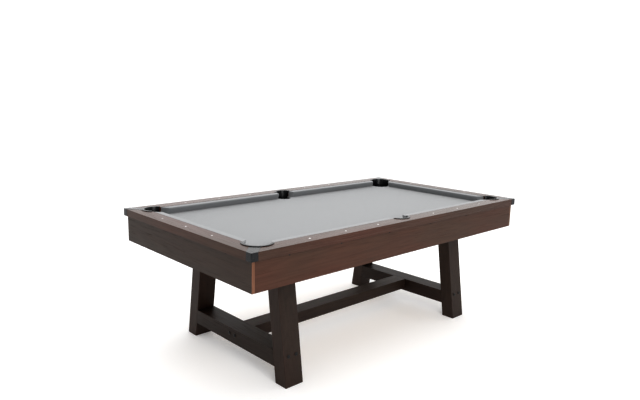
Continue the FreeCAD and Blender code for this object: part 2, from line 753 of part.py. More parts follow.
def long_stretcher_bolts():
    length = LONG_BOLT_TO_NUT + NUT_RADIUS
    bolts = []
    for end in (-1, 1):
        for start in long_bolt_starts():
            bolt = headed_bolt(start, Vector(-1, 0, 0), BOLT_HEAD_RADIUS, BOLT_HEAD_HEIGHT, length)
            bolts.append(flipped(bolt, end, 1))
    return bolts


def leg_bolts():
    """Upright bolts, sunk in the leg beams, that hold the legs."""
    seat = BED_BOTTOM - SMALL_HEAD_HEIGHT
    bolts = []
    for spot in leg_beam_bolt_spots():
        start = Vector(spot.x, spot.y, seat)
        length = seat - spot.z + NUT_RADIUS
        bolts.append(
            headed_bolt(start, Vector(0, 0, -1), SMALL_HEAD_RADIUS, SMALL_HEAD_HEIGHT, length)
        )
    return in_each_corner(bolts)


def barrel_nuts():
    """Steel cylinders in the wood, each tapped across for its bolt."""
    nuts = []
    for (start, inward), spot in zip(frame_bolt_places(), frame_nut_spots()):
        shank = rod(start, inward, BOLT_RADIUS, FRAME_BOLT_TO_NUT + NUT_RADIUS + 1)
        nuts.append(upright_nut(spot).cut(shank))
    for spot in leg_beam_bolt_spots():
        low = spot - Vector(0, NUT_LENGTH / 2, 0)
        shank = upright(spot.x, spot.y, spot.z - NUT_RADIUS - 1, spot.z + NUT_LENGTH, BOLT_RADIUS)
        nuts.append(rod(low, Vector(0, 1, 0), NUT_RADIUS, NUT_LENGTH).cut(shank))
    nuts = in_each_corner(nuts)
    for end in (-1, 1):
        for start, spot in zip(long_bolt_starts(), long_nut_spots()):
            shank = rod(start, Vector(-1, 0, 0), BOLT_RADIUS, LONG_BOLT_TO_NUT + NUT_RADIUS + 1)
            nuts.append(flipped(upright_nut(spot).cut(shank), end, 1))
    return nuts


def rail_bolts():
    length = BED_THICKNESS + CLOTH_THICKNESS + RAIL_BOLT_REACH
    return [
        headed_bolt(Vector(x, y, BED_BOTTOM), Vector(0, 0, 1), SMALL_HEAD_RADIUS,
                    SMALL_HEAD_HEIGHT, length)
        for x, y in RAIL_BOLT_PLACES
    ]


def rail_inserts():
    """Threaded sleeves in the undersides of the rails."""
    return [
        upright(x, y, CLOTH_TOP, CLOTH_TOP + INSERT_LENGTH, INSERT_RADIUS).cut(
            upright(x, y, CLOTH_TOP - 1, CLOTH_TOP + INSERT_LENGTH + 1, BOLT_RADIUS))
        for x, y in RAIL_BOLT_PLACES
    ]


def wood_screw(start, inward, length):
    head = rod(start - inward * WOOD_SCREW_HEAD_HEIGHT, inward,
               WOOD_SCREW_HEAD_RADIUS, WOOD_SCREW_HEAD_HEIGHT)
    return head.fuse(rod(start, inward, WOOD_SCREW_RADIUS, length)).removeSplitter()


def bracket_screw_spots():
    """Heads and directions of the screws in the bracket at the back right."""
    middle = BRACKET_THICKNESS + (BRACKET_LEG - BRACKET_THICKNESS) / 2
    half = BRACKET_SCREW_SPACING / 2
    spots = []
    for s in (-1, 1):
        x = LEG_CENTRE_X + s * half
        under = Vector(x, BED_Y - middle, BEAM_BOTTOM - BRACKET_THICKNESS)
        spots.append((under, Vector(0, 0, 1)))
        against = Vector(x, BED_Y - BRACKET_THICKNESS, BEAM_BOTTOM - middle)
        spots.append((against, Vector(0, 1, 0)))
    return spots


def bracket_pilots():
    """Holes for the bracket screws, in every corner."""
    reach = BRACKET_SCREW_LENGTH
    return in_each_corner(
        [rod(s, d, WOOD_SCREW_RADIUS, reach) for s, d in bracket_screw_spots()]
    )


def beam_brackets():
    """Steel angles under the ends of the leg beams, against the side aprons."""
    half = BRACKET_WIDTH / 2
    x0 = LEG_CENTRE_X - half
    x1 = LEG_CENTRE_X + half
    inner = BED_Y - BRACKET_LEG
    flat = block(x0, x1, inner, BED_Y, BEAM_BOTTOM - BRACKET_THICKNESS, BEAM_BOTTOM)
    hung = block(x0, x1, BED_Y - BRACKET_THICKNESS, BED_Y, BEAM_BOTTOM - BRACKET_LEG, BEAM_BOTTOM)
    angle = flat.fuse(hung).removeSplitter()
    screws = [rod(s - d, d, WOOD_SCREW_RADIUS, BRACKET_THICKNESS + 2) for s, d in bracket_screw_spots()]
    return in_each_corner([cut_all(angle, screws)])


def wood_screws():
    """Screws up into the caps' bosses, and through the brackets."""
    cap_length = TABLE_HEIGHT - 2 * CAP_WALL - BED_BOTTOM
    screws = [
        wood_screw(Vector(x, y, BED_BOTTOM), Vector(0, 0, 1), cap_length)
        for x, y in CAP_SCREW_PLACES
    ]
    bracket = [wood_screw(s, d, BRACKET_SCREW_LENGTH) for s, d in bracket_screw_spots()]
    return screws + in_each_corner(bracket)


# ---- levelling feet ---------------------------------------------------------
def leveler_pad(end, side):
    """A round foot, wound up into the leg, with a socket for the screw's end."""
    y = leveler_y()
    pad = upright(LEG_CENTRE_X, y, PAD_RECESS, PAD_TOP, PAD_RADIUS)
    socket = upright(LEG_CENTRE_X, y, STEM_BOTTOM - STEM_FIT, PAD_TOP + 1, STEM_RADIUS + STEM_FIT)
    return flipped(pad.cut(socket), end, side)


def leveler_stem(end, side):
    return flipped(upright(LEG_CENTRE_X, leveler_y(), STEM_BOTTOM, STEM_TOP, STEM_RADIUS), end, side)


def leveler_sleeves():
    """Threaded sleeves in the feet of the legs, shown with a plain bore."""
    y = leveler_y()
    sleeve = upright(LEG_CENTRE_X, y, RECESS_TOP, SLEEVE_TOP, SLEEVE_RADIUS)
    bore = upright(LEG_CENTRE_X, y, RECESS_TOP - 1, SLEEVE_TOP + 1, STEM_RADIUS + STEM_FIT)
    return in_each_corner([sleeve.cut(bore)])


# ---- all the pieces ---------------------------------------------------------
def build():
    parts = {
        "bed_panel": [bed_panel()],
        "bed_cloth": [bed_cloth()],
        "rail_sights": sights(0),
        "apron_edge_bands": apron_edge_bands(),
        "apron_corner_blocks": apron_corner_blocks(),
        "bed_cleats": bed_cleats(),
        "long_stretcher": [long_stretcher()],
        "stretcher_bolts": stretcher_bolts(),
        "long_stretcher_bolts": long_stretcher_bolts(),
        "leg_bolts": leg_bolts(),
        "barrel_nuts": barrel_nuts(),
        "rail_bolts": rail_bolts(),
        "rail_inserts": rail_inserts(),
        "apron_screws": APRON_SCREWS,
        "beam_brackets": beam_brackets(),
        "wood_screws": wood_screws(),
        "leveler_sleeves": leveler_sleeves(),
    }
    for name in POCKETS:
        parts[f"pocket_{name}"] = [pocket(name)]
    for side_name, side in SIDES:
        parts[f"side_rail_{side_name}"] = [side_rail(side)]
        parts[f"side_apron_{side_name}"] = [side_apron(side)]
        for end_name, end in ENDS:
            corner = f"{side_name}_{end_name}"
            parts[f"cushion_{corner}"] = [side_cushion(end, side)]
            parts[f"corner_cap_{corner}"] = [corner_cap(end, side)]
            parts[f"leg_{corner}"] = [leg(end, side)]
            parts[f"leveler_pad_{corner}"] = [leveler_pad(end, side)]
            parts[f"leveler_stem_{corner}"] = [leveler_stem(end, side)]
    for end_name, end in ENDS:
        parts[f"end_rail_{end_name}"] = [end_rail(end)]
        parts[f"end_apron_{end_name}"] = [end_apron(end)]
        parts[f"cushion_end_{end_name}"] = [end_cushion(end)]
        parts[f"bed_joist_{end_name}"] = [bed_joist(end)]
        parts[f"leg_beam_{end_name}"] = [leg_beam(end)]
        parts[f"cross_stretcher_{end_name}"] = [cross_stretcher(end)]
    return parts


def as_one(shapes):
    """One shape for a node: a single solid, or a compound of separate ones."""
    solids = [solid for shape in shapes for solid in shape.Solids]
    return solids[0] if len(solids) == 1 else Part.makeCompound(solids)


os.makedirs("parts", exist_ok=True)
for node, shapes in sorted(build().items()):
    shape = as_one(shapes)
    valid = shape.isValid()
    shape.exportStep(f"parts/{node}.step")
    print(f"{node}: {len(shape.Solids)} solids, {shape.Volume / 1000:.1f} cm3, valid {valid}")
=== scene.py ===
"""Looks of a seven-foot pool table, laid out as a Blender add-on and run as a script.

Lengths are in metres. +X runs along the table, +Y across it towards the back, +Z up, with the
floor at zero. Each new piece is worked out with numpy and gets its place from the loaded frame.
"""

import math

import bmesh
import bpy
import numpy as np
from bpy.props import FloatProperty, FloatVectorProperty, IntProperty, PointerProperty
from mathutils import Matrix, Vector
from mathutils.geometry import delaunay_2d_cdt


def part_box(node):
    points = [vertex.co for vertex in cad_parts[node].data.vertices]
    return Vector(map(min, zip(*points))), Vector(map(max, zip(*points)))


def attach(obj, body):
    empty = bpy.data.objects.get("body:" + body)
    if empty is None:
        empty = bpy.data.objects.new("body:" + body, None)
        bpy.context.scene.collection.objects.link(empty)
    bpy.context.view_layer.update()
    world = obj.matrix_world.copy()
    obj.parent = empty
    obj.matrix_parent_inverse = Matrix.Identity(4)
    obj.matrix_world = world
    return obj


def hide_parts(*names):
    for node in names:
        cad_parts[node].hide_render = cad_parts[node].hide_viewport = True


bl_info = {
    "name": "Pool table finishes",
    "version": (1, 0, 0),
    "blender": (4, 5, 0),
    "location": "3D View > Sidebar > Pool table",
    "description": "Cloth, cushions, pockets, wood finishes and stage for the pool table",
    "category": "Object",
}

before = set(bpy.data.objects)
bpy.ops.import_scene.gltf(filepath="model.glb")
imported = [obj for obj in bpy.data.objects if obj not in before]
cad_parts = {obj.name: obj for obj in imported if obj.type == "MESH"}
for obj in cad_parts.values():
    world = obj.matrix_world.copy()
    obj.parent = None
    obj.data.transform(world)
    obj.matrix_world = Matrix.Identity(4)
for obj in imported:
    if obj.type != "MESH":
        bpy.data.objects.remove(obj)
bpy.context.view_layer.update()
ROOT = "table"
HAIR = 1e-4      # nearer than this, two measures of the frame are the same
FINE = 1e-5      # the same, where a measure's own points are told from their neighbours
TOUCHING = 1e-6  # nearer than this, two points of a mesh are one
CORNERS = ("front_left", "front_right", "back_left", "back_right")
POCKETS = CORNERS + ("front_middle", "back_middle")
BOARDS = (
    "side_apron_front", "side_apron_back", "end_apron_left", "end_apron_right",
    "cross_stretcher_left", "cross_stretcher_right", "long_stretcher",
)


# ---- measuring the frame ----------------------------------------------------
def points_of(node):
    """All vertices of a CAD node as rows of X, Y, Z."""
    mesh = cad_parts[node].data
    rows = np.empty(len(mesh.vertices) * 3)
    mesh.vertices.foreach_get("co", rows)
    return rows.reshape(-1, 3)


def side_of(value):
    """One, with the sign of the value."""
    return 1.0 if value > 0 else -1.0


def loose_parts(node):
    """The vertices of each separate solid of a CAD node. Every vertex takes the lowest number
    among the triangles that it belongs to, again and again, until no number changes."""
    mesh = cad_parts[node].data
    corners = np.empty(len(mesh.loops), np.int32)
    mesh.loops.foreach_get("vertex_index", corners)
    rows = points_of(node)
    _, first, same = np.unique(np.round(rows / TOUCHING), axis=0, return_index=True,
                               return_inverse=True)
    triangles = same.reshape(-1)[corners].reshape(-1, 3)
    label, before = np.arange(len(first)), None
    while before is None or (label != before).any():
        before = label.copy()
        np.minimum.at(label, triangles, before[triangles].min(1, keepdims=True))
    return [rows[first[label == number]] for number in np.unique(label)]


CLOTH_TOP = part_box("bed_cloth")[1].z
WOOD_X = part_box("end_rail_right")[0].x  # the rails' wood starts this far from the middle
WOOD_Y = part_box("side_rail_back")[0].y


def pocket_measures(name):
    """Centre, radii and heights of a pocket, read from its CAD solid."""
    rows = points_of(f"pocket_{name}")
    height = rows[:, 2]
    foot, top = height.min(), height.max()
    low = rows[height < foot + HAIR]
    centre = (low[:, :2].max(0) + low[:, :2].min(0)) / 2
    distance = np.hypot(*(rows[:, :2] - centre).T)
    above = height > foot + HAIR
    cup, floor = distance[above].min(), height[above].min()
    inner_edge = height[(distance < cup + HAIR) & (height > (floor + top) / 2)]
    on_top = height > top - HAIR
    flange = distance[on_top].max()
    return {
        "centre": centre,
        "cup": cup,
        "outer": distance[height < foot + HAIR].max(),
        "floor": floor,
        "foot": foot,
        "cup_top": inner_edge.min(),
        "seat": height[distance > flange - HAIR].min(),
        "rim": distance[on_top].min(),
        "flange": flange,
        "top": top,
        "corner": abs(centre[0]) > WOOD_X / 2,
    }


def cushion_measures(node):
    """Nose line, back line and where both start and end along the rail."""
    rows = points_of(node)
    spread = rows.max(0) - rows.min(0)
    along, across = (0, 1) if spread[0] > spread[1] else (1, 0)
    side = side_of(rows[:, across].mean())
    depth = side * rows[:, across]
    nose, back = depth.min(), depth.max()
    nose_rows = rows[depth < nose + FINE][:, along]
    back_rows = rows[depth > back - FINE][:, along]
    return {
        "along": along,
        "across": across,
        "side": side,
        "nose": nose,
        "back": back,
        "top": rows[:, 2].max(),
        "nose_ends": (nose_rows.min(), nose_rows.max()),
        "back_ends": (back_rows.min(), back_rows.max()),
    }


# ---- settings that a user would change --------------------------------------
class TableSizes(bpy.types.PropertyGroup):
    """Small shapes that the frame leaves plain."""

    nose_height: FloatProperty(
        name="Nose height", description="Height of the cushion's nose over the cloth",
        default=0.0345, min=0.02, unit="LENGTH")
    nose_radius: FloatProperty(
        name="Nose radius", description="Rounding of the cushion's nose",
        default=0.0045, min=0.001, unit="LENGTH")
    foot_depth: FloatProperty(
        name="Foot depth", description="How far behind its nose a cushion meets the cloth",
        default=0.015, min=0.0, unit="LENGTH")
    facing_radius: FloatProperty(
        name="Facing radius", description="Rounding round the cut ends of a cushion",
        default=0.0035, min=0.001, unit="LENGTH")
    seam_depth: FloatProperty(
        name="Seam depth", description="Groove between the cushion's cloth and the wood",
        default=0.0028, min=0.0, unit="LENGTH")
    cloth_gauge: FloatProperty(
        name="Cloth gauge", description="Thickness of the bed cloth",
        default=0.0009, min=0.0003, unit="LENGTH")
    lip_radius: FloatProperty(
        name="Lip radius", description="Roll of the cloth into a pocket's hole",
        default=0.004, min=0.001, unit="LENGTH")
    lip_fall: FloatProperty(
        name="Lip fall", description="How far the cloth falls straight below its roll",
        default=0.004, min=0.001, unit="LENGTH")
    flange_round: FloatProperty(
        name="Flange rounding", description="Rounding of a pocket flange's edges",
        default=0.0013, min=0.0003, unit="LENGTH")
    board_edge: FloatProperty(
        name="Board edge", description="Bevel of the boards' edges",
        default=0.0009, min=0.0001, unit="LENGTH")
    moulded_edge: FloatProperty(
        name="Moulded edge", description="Bevel of the corner caps' edges",
        default=0.0010, min=0.0001, unit="LENGTH")
    sight_rise: FloatProperty(
        name="Sight rise", description="Height of a sight's dome",
        default=0.0005, min=0.0, unit="LENGTH")
    arc_steps: IntProperty(
        name="Arc steps", description="Faces round a quarter of a pocket",
        default=24, min=8)


class TableColours(bpy.types.PropertyGroup):
    """Base colours of the finishes, in linear light."""

    rail: FloatVectorProperty(
        name="Rail wood", description="Wood-grain finish of the top rails",
        subtype="COLOR", size=3, min=0, max=1, default=(0.062, 0.035, 0.025))
    apron: FloatVectorProperty(
        name="Apron wood", description="Wood-grain finish of the aprons",
        subtype="COLOR", size=3, min=0, max=1, default=(0.066, 0.036, 0.024))
    # Painted shade: the end aprons' wood is the apron wood made darker and greyer, for the end
    # faces that turn away from the key light.
    end_apron: FloatVectorProperty(
        name="End apron wood", description="The greyer finish of the end aprons",
        subtype="COLOR", size=3, min=0, max=1, default=(0.046, 0.032, 0.0245))
    leg: FloatVectorProperty(
        name="Leg wood", description="Stained wood of legs and stretchers",
        subtype="COLOR", size=3, min=0, max=1, default=(0.037, 0.025, 0.0195))
    band: FloatVectorProperty(
        name="Edge banding", description="Lighter strips on the ends of the end aprons",
        subtype="COLOR", size=3, min=0, max=1, default=(0.150, 0.092, 0.058))
    cloth: FloatVectorProperty(
        name="Cloth", description="Napped cloth of the bed and cushions",
        subtype="COLOR", size=3, min=0, max=1, default=(0.214, 0.219, 0.225))
    plastic: FloatVectorProperty(
        name="Black plastic", description="Pockets and corner caps",
        subtype="COLOR", size=3, min=0, max=1, default=(0.006, 0.0066, 0.0078))
    softwood: FloatVectorProperty(
        name="Softwood", description="Unfinished timber under the bed",
        subtype="COLOR", size=3, min=0, max=1, default=(0.46, 0.33, 0.19))
    fibreboard: FloatVectorProperty(
        name="Fibreboard", description="The panel under the cloth",
        subtype="COLOR", size=3, min=0, max=1, default=(0.36, 0.25, 0.15))
    blackened: FloatVectorProperty(
        name="Blackened steel", description="Bolt heads on the legs and stretchers",
        subtype="COLOR", size=3, min=0, max=1, default=(0.020, 0.019, 0.019))
    phosphate: FloatVectorProperty(
        name="Phosphate coating", description="Dull black screws of the aprons",
        subtype="COLOR", size=3, min=0, max=1, default=(0.004, 0.004, 0.004))
    zinc: FloatVectorProperty(
        name="Zinc plating", description="Hidden bolts, nuts, brackets and screws",
        subtype="COLOR", size=3, min=0, max=1, default=(0.56, 0.55, 0.52))
    rubber: FloatVectorProperty(
        name="Rubber", description="Pads of the levelling feet",
        subtype="COLOR", size=3, min=0, max=1, default=(0.022, 0.022, 0.022))


class StageSettings(bpy.types.PropertyGroup):
    """Camera and light of a plain studio."""

    camera_place: FloatVectorProperty(
        name="Camera place", description="Where the camera stands",
        subtype="XYZ", unit="LENGTH", size=3, default=(-2.5104, -2.5292, 1.4568))
    azimuth: FloatProperty(
        name="Azimuth", description="Direction of view, turned from +Y",
        subtype="ANGLE", default=math.radians(-43.216))
    elevation: FloatProperty(
        name="Elevation", description="How steeply the camera looks down",
        subtype="ANGLE", default=math.radians(10.380))
    roll: FloatProperty(
        name="Roll", description="Turn of the picture",
        subtype="ANGLE", default=math.radians(1.271))
    lens: FloatProperty(
        name="Lens", description="Focal length on a 36 mm wide sensor",
        unit="CAMERA", default=32.722)
    world_light: FloatProperty(
        name="World light", description="Brightness of the surroundings behind the table",
        default=1.1, min=0.0)
    near_light: FloatProperty(
        name="Near light", description="Brightness of the surroundings on the camera's side",
        default=0.32, min=0.0)
    key_power: FloatProperty(
        name="Key power", description="Power of the large light over the long side",
        unit="POWER", default=94.0, min=0.0)
    top_share: FloatProperty(
        name="Top share", description="The top light's power as a share of the key light's",
        subtype="FACTOR", default=0.3, min=0.0, max=1.0)
    floor_half: FloatProperty(
        name="Floor half", description="Half the width of the floor",
        unit="LENGTH", default=150.0, min=5.0)
    floor_tone: FloatProperty(
        name="Floor tone", description="Grey value of the floor",
        subtype="FACTOR", default=0.93, min=0.0, max=1.0)
    floor_glow: FloatProperty(
        name="Floor glow", description="Light of its own that the floor gives",
        default=0.16, min=0.0)


# ---- shader maths -----------------------------------------------------------
class Signal:
    """One output socket of a painter. Arithmetic on it adds Math nodes."""

    def __init__(self, painter, socket):
        self.painter = painter
        self.socket = socket

    def math(self, operation, *values):
        return self.painter.node("ShaderNodeMath", {"operation": operation}, values)

    def __add__(self, other):
        return self.math("ADD", self, other)

    __radd__ = __add__

    def __sub__(self, other):
        return self.math("SUBTRACT", self, other)

    def __rsub__(self, other):
        return self.math("SUBTRACT", other, self)

    def __mul__(self, other):
        return self.math("MULTIPLY", self, other)

    __rmul__ = __mul__

    def sine(self):
        return self.math("SINE", self)

    def clipped(self):
        return self.painter.node("ShaderNodeClamp", {}, {"Value": self})


class Painter:
    """A node tree with its main shader. Every other node comes from one method."""

    def __init__(self, owner, shader):
        owner.use_nodes = True
        self.tree = owner.node_tree
        self.shader = self.tree.nodes[shader]

    def node(self, kind, settings, values, output=0):
        """Adds a node: its settings first, then the values or links of its sockets."""
        made = self.tree.nodes.new(kind)
        for name, value in settings.items():
            if name == "stops":
                self.set_stops(made.color_ramp, value)
            else:
                setattr(made, name, value)
        pairs = values.items() if isinstance(values, dict) else enumerate(values)
        for name, value in pairs:
            self.feed(made.inputs[name], value)
        return Signal(self, made.outputs[output])

    def feed(self, socket, value):
        """Links a signal to a socket, or sets the socket; a colour has no alpha of its own."""
        if isinstance(value, Signal):
            self.tree.links.new(value.socket, socket)
        elif socket.type == "RGBA":
            socket.default_value = (*value, 1.0)
        else:
            socket.default_value = value

    def set(self, **values):
        """Sets the main shader's sockets; an underscore in a name stands for a space."""
        for name, value in values.items():
            self.feed(self.shader.inputs[name.replace("_", " ")], value)

    @staticmethod
    def set_stops(ramp, stops):
        while len(ramp.elements) < len(stops):
            ramp.elements.new(0.5)
        for element, (place, level) in zip(ramp.elements, stops):
            element.position = place
            element.color = (level, level, level, 1.0)


class Finish(Painter):
    """A procedural material, built on Object coordinates."""

    def __init__(self, name):
        self.material = bpy.data.materials.new(name)
        super().__init__(self.material, "Principled BSDF")

    def mapped(self, scale, turn=(0.0, 0.0, 0.0), shift=(0.0, 0.0, 0.0)):
        """Object coordinates, turned, moved and scaled."""
        place = self.node("ShaderNodeTexCoord", {}, {}, "Object")
        turned = self.node(
            "ShaderNodeMapping", {}, {"Vector": place, "Rotation": turn, "Location": shift})
        return self.node("ShaderNodeMapping", {}, {"Vector": turned, "Scale": scale})

    def noise(self, vector, detail=3.0, rough=0.5, distortion=0.0):
        """Soft noise with a cell one unit wide, so the vector's scale is the noise's."""
        return self.node(
            "ShaderNodeTexNoise", {},
            {"Vector": vector, "Scale": 1.0, "Detail": detail, "Roughness": rough,
             "Distortion": distortion}, "Fac")

    def ramp(self, value, stops):
        """A grey ramp of a value."""
        return self.node("ShaderNodeValToRGB", {"stops": stops}, {"Fac": value})

    def mix(self, amount, first, second):
        """A colour between two others. The Mix node's colours are its inputs 6 and 7, and its
        output 2."""
        return self.node("ShaderNodeMix", {"data_type": "RGBA"},
                         {0: amount, 6: first, 7: second}, 2)

    def bump(self, height, distance, strength=1.0):
        """Feeds the shader's normal from a height; the distance is in metres."""
        normal = self.node(
            "ShaderNodeBump", {},
            {"Height": height, "Distance": distance, "Strength": strength}, "Normal")
        self.set(Normal=normal)


def shade(colour, factor):
    """A colour made lighter or darker."""
    return tuple(min(1.0, c * factor) for c in colour)


# How Object coordinates turn, so that the grain runs along each axis.
GRAIN_TURNS = {
    "X": (0.0, 0.0, 0.0),
    "Y": (0.0, 0.0, math.radians(-90.0)),
    "Z": (0.0, math.radians(90.0), 0.0),
}


def wood_finish(name, colour, grain, shift, gloss, red=0.35, specular=0.22):
    """Stained wood grain. Growth lines are the sine of a stretched noise, pores are a much
    finer stretched noise, and a broad noise drifts the tone and its redness."""
    finish = Finish(name)
    turn = GRAIN_TURNS[grain]
    broad = finish.noise(finish.mapped((1.3, 6.0, 6.0), turn, shift), detail=2.0)
    body = finish.noise(finish.mapped((0.7, 11.0, 11.0), turn, shift), detail=3.0, rough=0.45,
                        distortion=0.35)
    lines = (body * 62.0).sine() * 0.5 + 0.5
    fine = finish.noise(finish.mapped((7.0, 260.0, 260.0), turn, shift), detail=4.0, rough=0.6)
    pores = finish.ramp(fine, [(0.30, 1.0), (0.43, 0.0)])
    streaks = finish.noise(finish.mapped((2.2, 70.0, 70.0), turn, shift), detail=5.0, rough=0.62)
    tone = (lines * 0.30 + streaks * 0.80 - 0.05).clipped()
    plain = finish.mix(tone, shade(colour, 0.80), shade(colour, 1.22))
    warm = (colour[0] * (1.0 + red), colour[1] * 0.90, colour[2] * 0.86)
    blush = finish.ramp(broad, [(0.40, 0.0), (0.68, 1.0)])
    warmed = finish.mix(blush * 0.6, plain, finish.mix(tone, shade(warm, 0.85), shade(warm, 1.2)))
    coloured = finish.mix(pores * 0.36, warmed, shade(colour, 0.42))
    rough = pores * 0.22 + streaks * 0.16 + (gloss - 0.06)
    finish.set(Base_Color=coloured, Roughness=rough, Specular_IOR_Level=specular)
    finish.bump(lines * 0.25 + streaks * 0.35 - pores * 0.9, 0.00010)
    return finish


def bare_wood_finish(name, colour, grain, shift):
    """Unfinished softwood: broad yellow grain with late-wood lines and a dry surface."""
    finish = Finish(name)
    turn = GRAIN_TURNS[grain]
    body = finish.noise(finish.mapped((0.7, 9.0, 9.0), turn, shift), detail=2.0, distortion=0.3)
    lines = finish.ramp((body * 70.0).sine() * 0.5 + 0.5, [(0.45, 0.0), (0.95, 1.0)])
    fibre = finish.noise(finish.mapped((9.0, 300.0, 300.0), turn, shift), detail=4.0)
    plain = finish.mix(lines * 0.6, shade(colour, 1.1), shade(colour, 0.62))
    finish.set(Base_Color=finish.mix(fibre * 0.45, plain, shade(colour, 0.72)),
               Roughness=fibre * 0.2 + 0.62)
    finish.bump(fibre - lines * 0.4, 0.0002)
    return finish


def board_finish(name, colour):
    """Raw fibreboard: matted fibres and a few darker flecks."""
    finish = Finish(name)
    mat = finish.noise(finish.mapped((160.0, 160.0, 160.0)), detail=5.0, rough=0.7)
    flecks = finish.ramp(finish.noise(finish.mapped((420.0, 420.0, 420.0))),
                         [(0.62, 0.0), (0.72, 1.0)])
    plain = finish.mix(mat, shade(colour, 0.8), shade(colour, 1.2))
    finish.set(Base_Color=finish.mix(flecks * 0.5, plain, shade(colour, 0.45)),
               Roughness=mat * 0.15 + 0.72)
    finish.bump(mat, 0.0002)
    return finish


def cloth_finish(name, colour):
    """Napped wool cloth: a fine twill under a fuzzy pile, with faint brushed clouds."""
    finish = Finish(name)
    clouds = finish.noise(finish.mapped((3.2, 7.0, 7.0)), detail=3.0, rough=0.55)
    pile = finish.noise(finish.mapped((900.0, 620.0, 760.0)), detail=3.0, rough=0.65)
    twill_turn = (0.0, 0.0, math.radians(33.0))
    twill = finish.node(
        "ShaderNodeTexWave", {"wave_type": "BANDS", "bands_direction": "X"},
        {"Vector": finish.mapped((620.0, 620.0, 620.0), twill_turn), "Scale": 0.5,
         "Distortion": 2.2, "Detail": 2.0}, "Fac")
    lint = finish.ramp(finish.noise(finish.mapped((210.0, 260.0, 230.0)), detail=2.0),
                       [(0.68, 0.0), (0.76, 1.0)])
    weave = pile * 0.7 + twill * 0.3
    plain = finish.mix(weave, shade(colour, 0.84), shade(colour, 1.13))
    brushed = finish.mix(clouds * 0.5, plain, shade(colour, 1.09))
    finish.set(Base_Color=finish.mix(lint * 0.35, brushed, shade(colour, 1.32)),
               Roughness=pile * 0.12 + 0.82, Sheen_Weight=0.42, Sheen_Roughness=0.45)
    finish.bump(weave + lint * 0.3, 0.00035, 0.7)
    return finish


def plastic_finish(name, colour, gloss=0.24):
    """Black moulded plastic: a fine spark-eroded grain, with faint handling marks."""
    finish = Finish(name)
    grain = finish.noise(finish.mapped((850.0, 850.0, 850.0)), detail=3.0, rough=0.6)
    marks = finish.noise(finish.mapped((14.0, 22.0, 18.0)), detail=4.0, rough=0.6)
    finish.set(Base_Color=finish.mix(marks, shade(colour, 0.75), shade(colour, 1.5)),
               Roughness=marks * 0.16 + grain * 0.08 + (gloss - 0.1), Specular_IOR_Level=0.34)
    finish.bump(grain, 0.00006, 0.6)
    return finish


def pearl_finish(name):
    """White pearl inlay: soft swirling clouds under a gloss."""
    finish = Finish(name)
    swirl = finish.noise(finish.mapped((160.0, 160.0, 160.0)), detail=3.0, distortion=2.2)
    finish.set(Base_Color=finish.mix(swirl, (0.74, 0.71, 0.70), (0.95, 0.94, 0.93)),
               Roughness=swirl * 0.12 + 0.14, Coat_Weight=0.5)
    finish.bump(swirl, 0.00003, 0.5)
    return finish


def steel_finish(name, colour, metallic, gloss):
    """Plated or blackened steel, finely drawn along its length."""
    finish = Finish(name)
    drawn = finish.noise(finish.mapped((700.0, 160.0, 700.0)), detail=4.0, rough=0.7)
    spots = finish.noise(finish.mapped((90.0, 90.0, 90.0)), detail=3.0)
    finish.set(Base_Color=finish.mix(spots, shade(colour, 0.82), shade(colour, 1.15)),
               Metallic=metallic, Roughness=drawn * 0.14 + spots * 0.08 + (gloss - 0.1))
    finish.bump(drawn, 0.00004, 0.6)
    return finish


def rubber_finish(name, colour):
    """Dull black rubber with dust in its grain."""
    finish = Finish(name)
    grain = finish.noise(finish.mapped((380.0, 380.0, 380.0)), detail=4.0)
    finish.set(Base_Color=finish.mix(grain * 0.6, colour, shade(colour, 2.6)),
               Roughness=grain * 0.15 + 0.7)
    finish.bump(grain, 0.00015)
    return finish


# ---- mesh work --------------------------------------------------------------
HARD_EDGE = math.radians(42.0)


def linked(name, data):
    """A new object in the scene."""
    made = bpy.data.objects.new(name, data)
    bpy.context.scene.collection.objects.link(made)
    return made


def mesh_piece(name, shell, finish):
    """A mesh object at the origin, smooth but for its hard edges, riding on the table."""
    points, faces = shell
    mesh = bpy.data.meshes.new(name)
    mesh.from_pydata(np.asarray(points).tolist(), [], faces)
    mesh.validate()
    mesh.update()
    mesh.polygons.foreach_set("use_smooth", [True] * len(mesh.polygons))
    mesh.set_sharp_from_angle(angle=HARD_EDGE)
    mesh.materials.append(finish_named(finish).material)
    piece = linked(name, mesh)
    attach(piece, ROOT)
    return piece


def rebuilt(points, faces, gap=0.0, face_up=False):
    """The same surface with points nearer than the gap merged, and its outside out. An open
    sheet may have its largest face turned up instead."""
    work = bmesh.new()
    made = [work.verts.new(p) for p in np.asarray(points).tolist()]
    for face in faces:
        work.faces.new([made[i] for i in face])
    if gap:
        bmesh.ops.remove_doubles(work, verts=work.verts, dist=gap)
    bmesh.ops.recalc_face_normals(work, faces=work.faces)
    if face_up and max(work.faces, key=lambda f: f.calc_area()).normal.z < 0:
        bmesh.ops.reverse_faces(work, faces=work.faces)
    work.verts.index_update()
    merged = np.array([tuple(v.co) for v in work.verts])
    turned = [tuple(v.index for v in face.verts) for face in work.faces]
    work.free()
    return merged, turned


def grid_faces(rows, columns, wrap_rows=False, wrap_columns=False):
    """Quads of a grid of points numbered row by row; either way may close on itself."""
    r = np.arange(rows if wrap_rows else rows - 1)
    c = np.arange(columns if wrap_columns else columns - 1)
    r, c = np.meshgrid(r, c, indexing="ij")
    r2, c2 = (r + 1) % rows, (c + 1) % columns
    quads = np.stack([r * columns + c, r * columns + c2, r2 * columns + c2, r2 * columns + c], -1)
    return [tuple(q) for q in quads.reshape(-1, 4).tolist()]


def rings_about(centre, radius, height, turn):
    """A list of points: the centre plus each radius times the cosine and sine of each turn
    about an upright axis, and each height. The arrays are spread over each other."""
    points = np.stack([centre[0] + radius * np.cos(turn), centre[1] + radius * np.sin(turn),
                       height + 0 * turn], -1)
    return points.reshape(-1, 3)


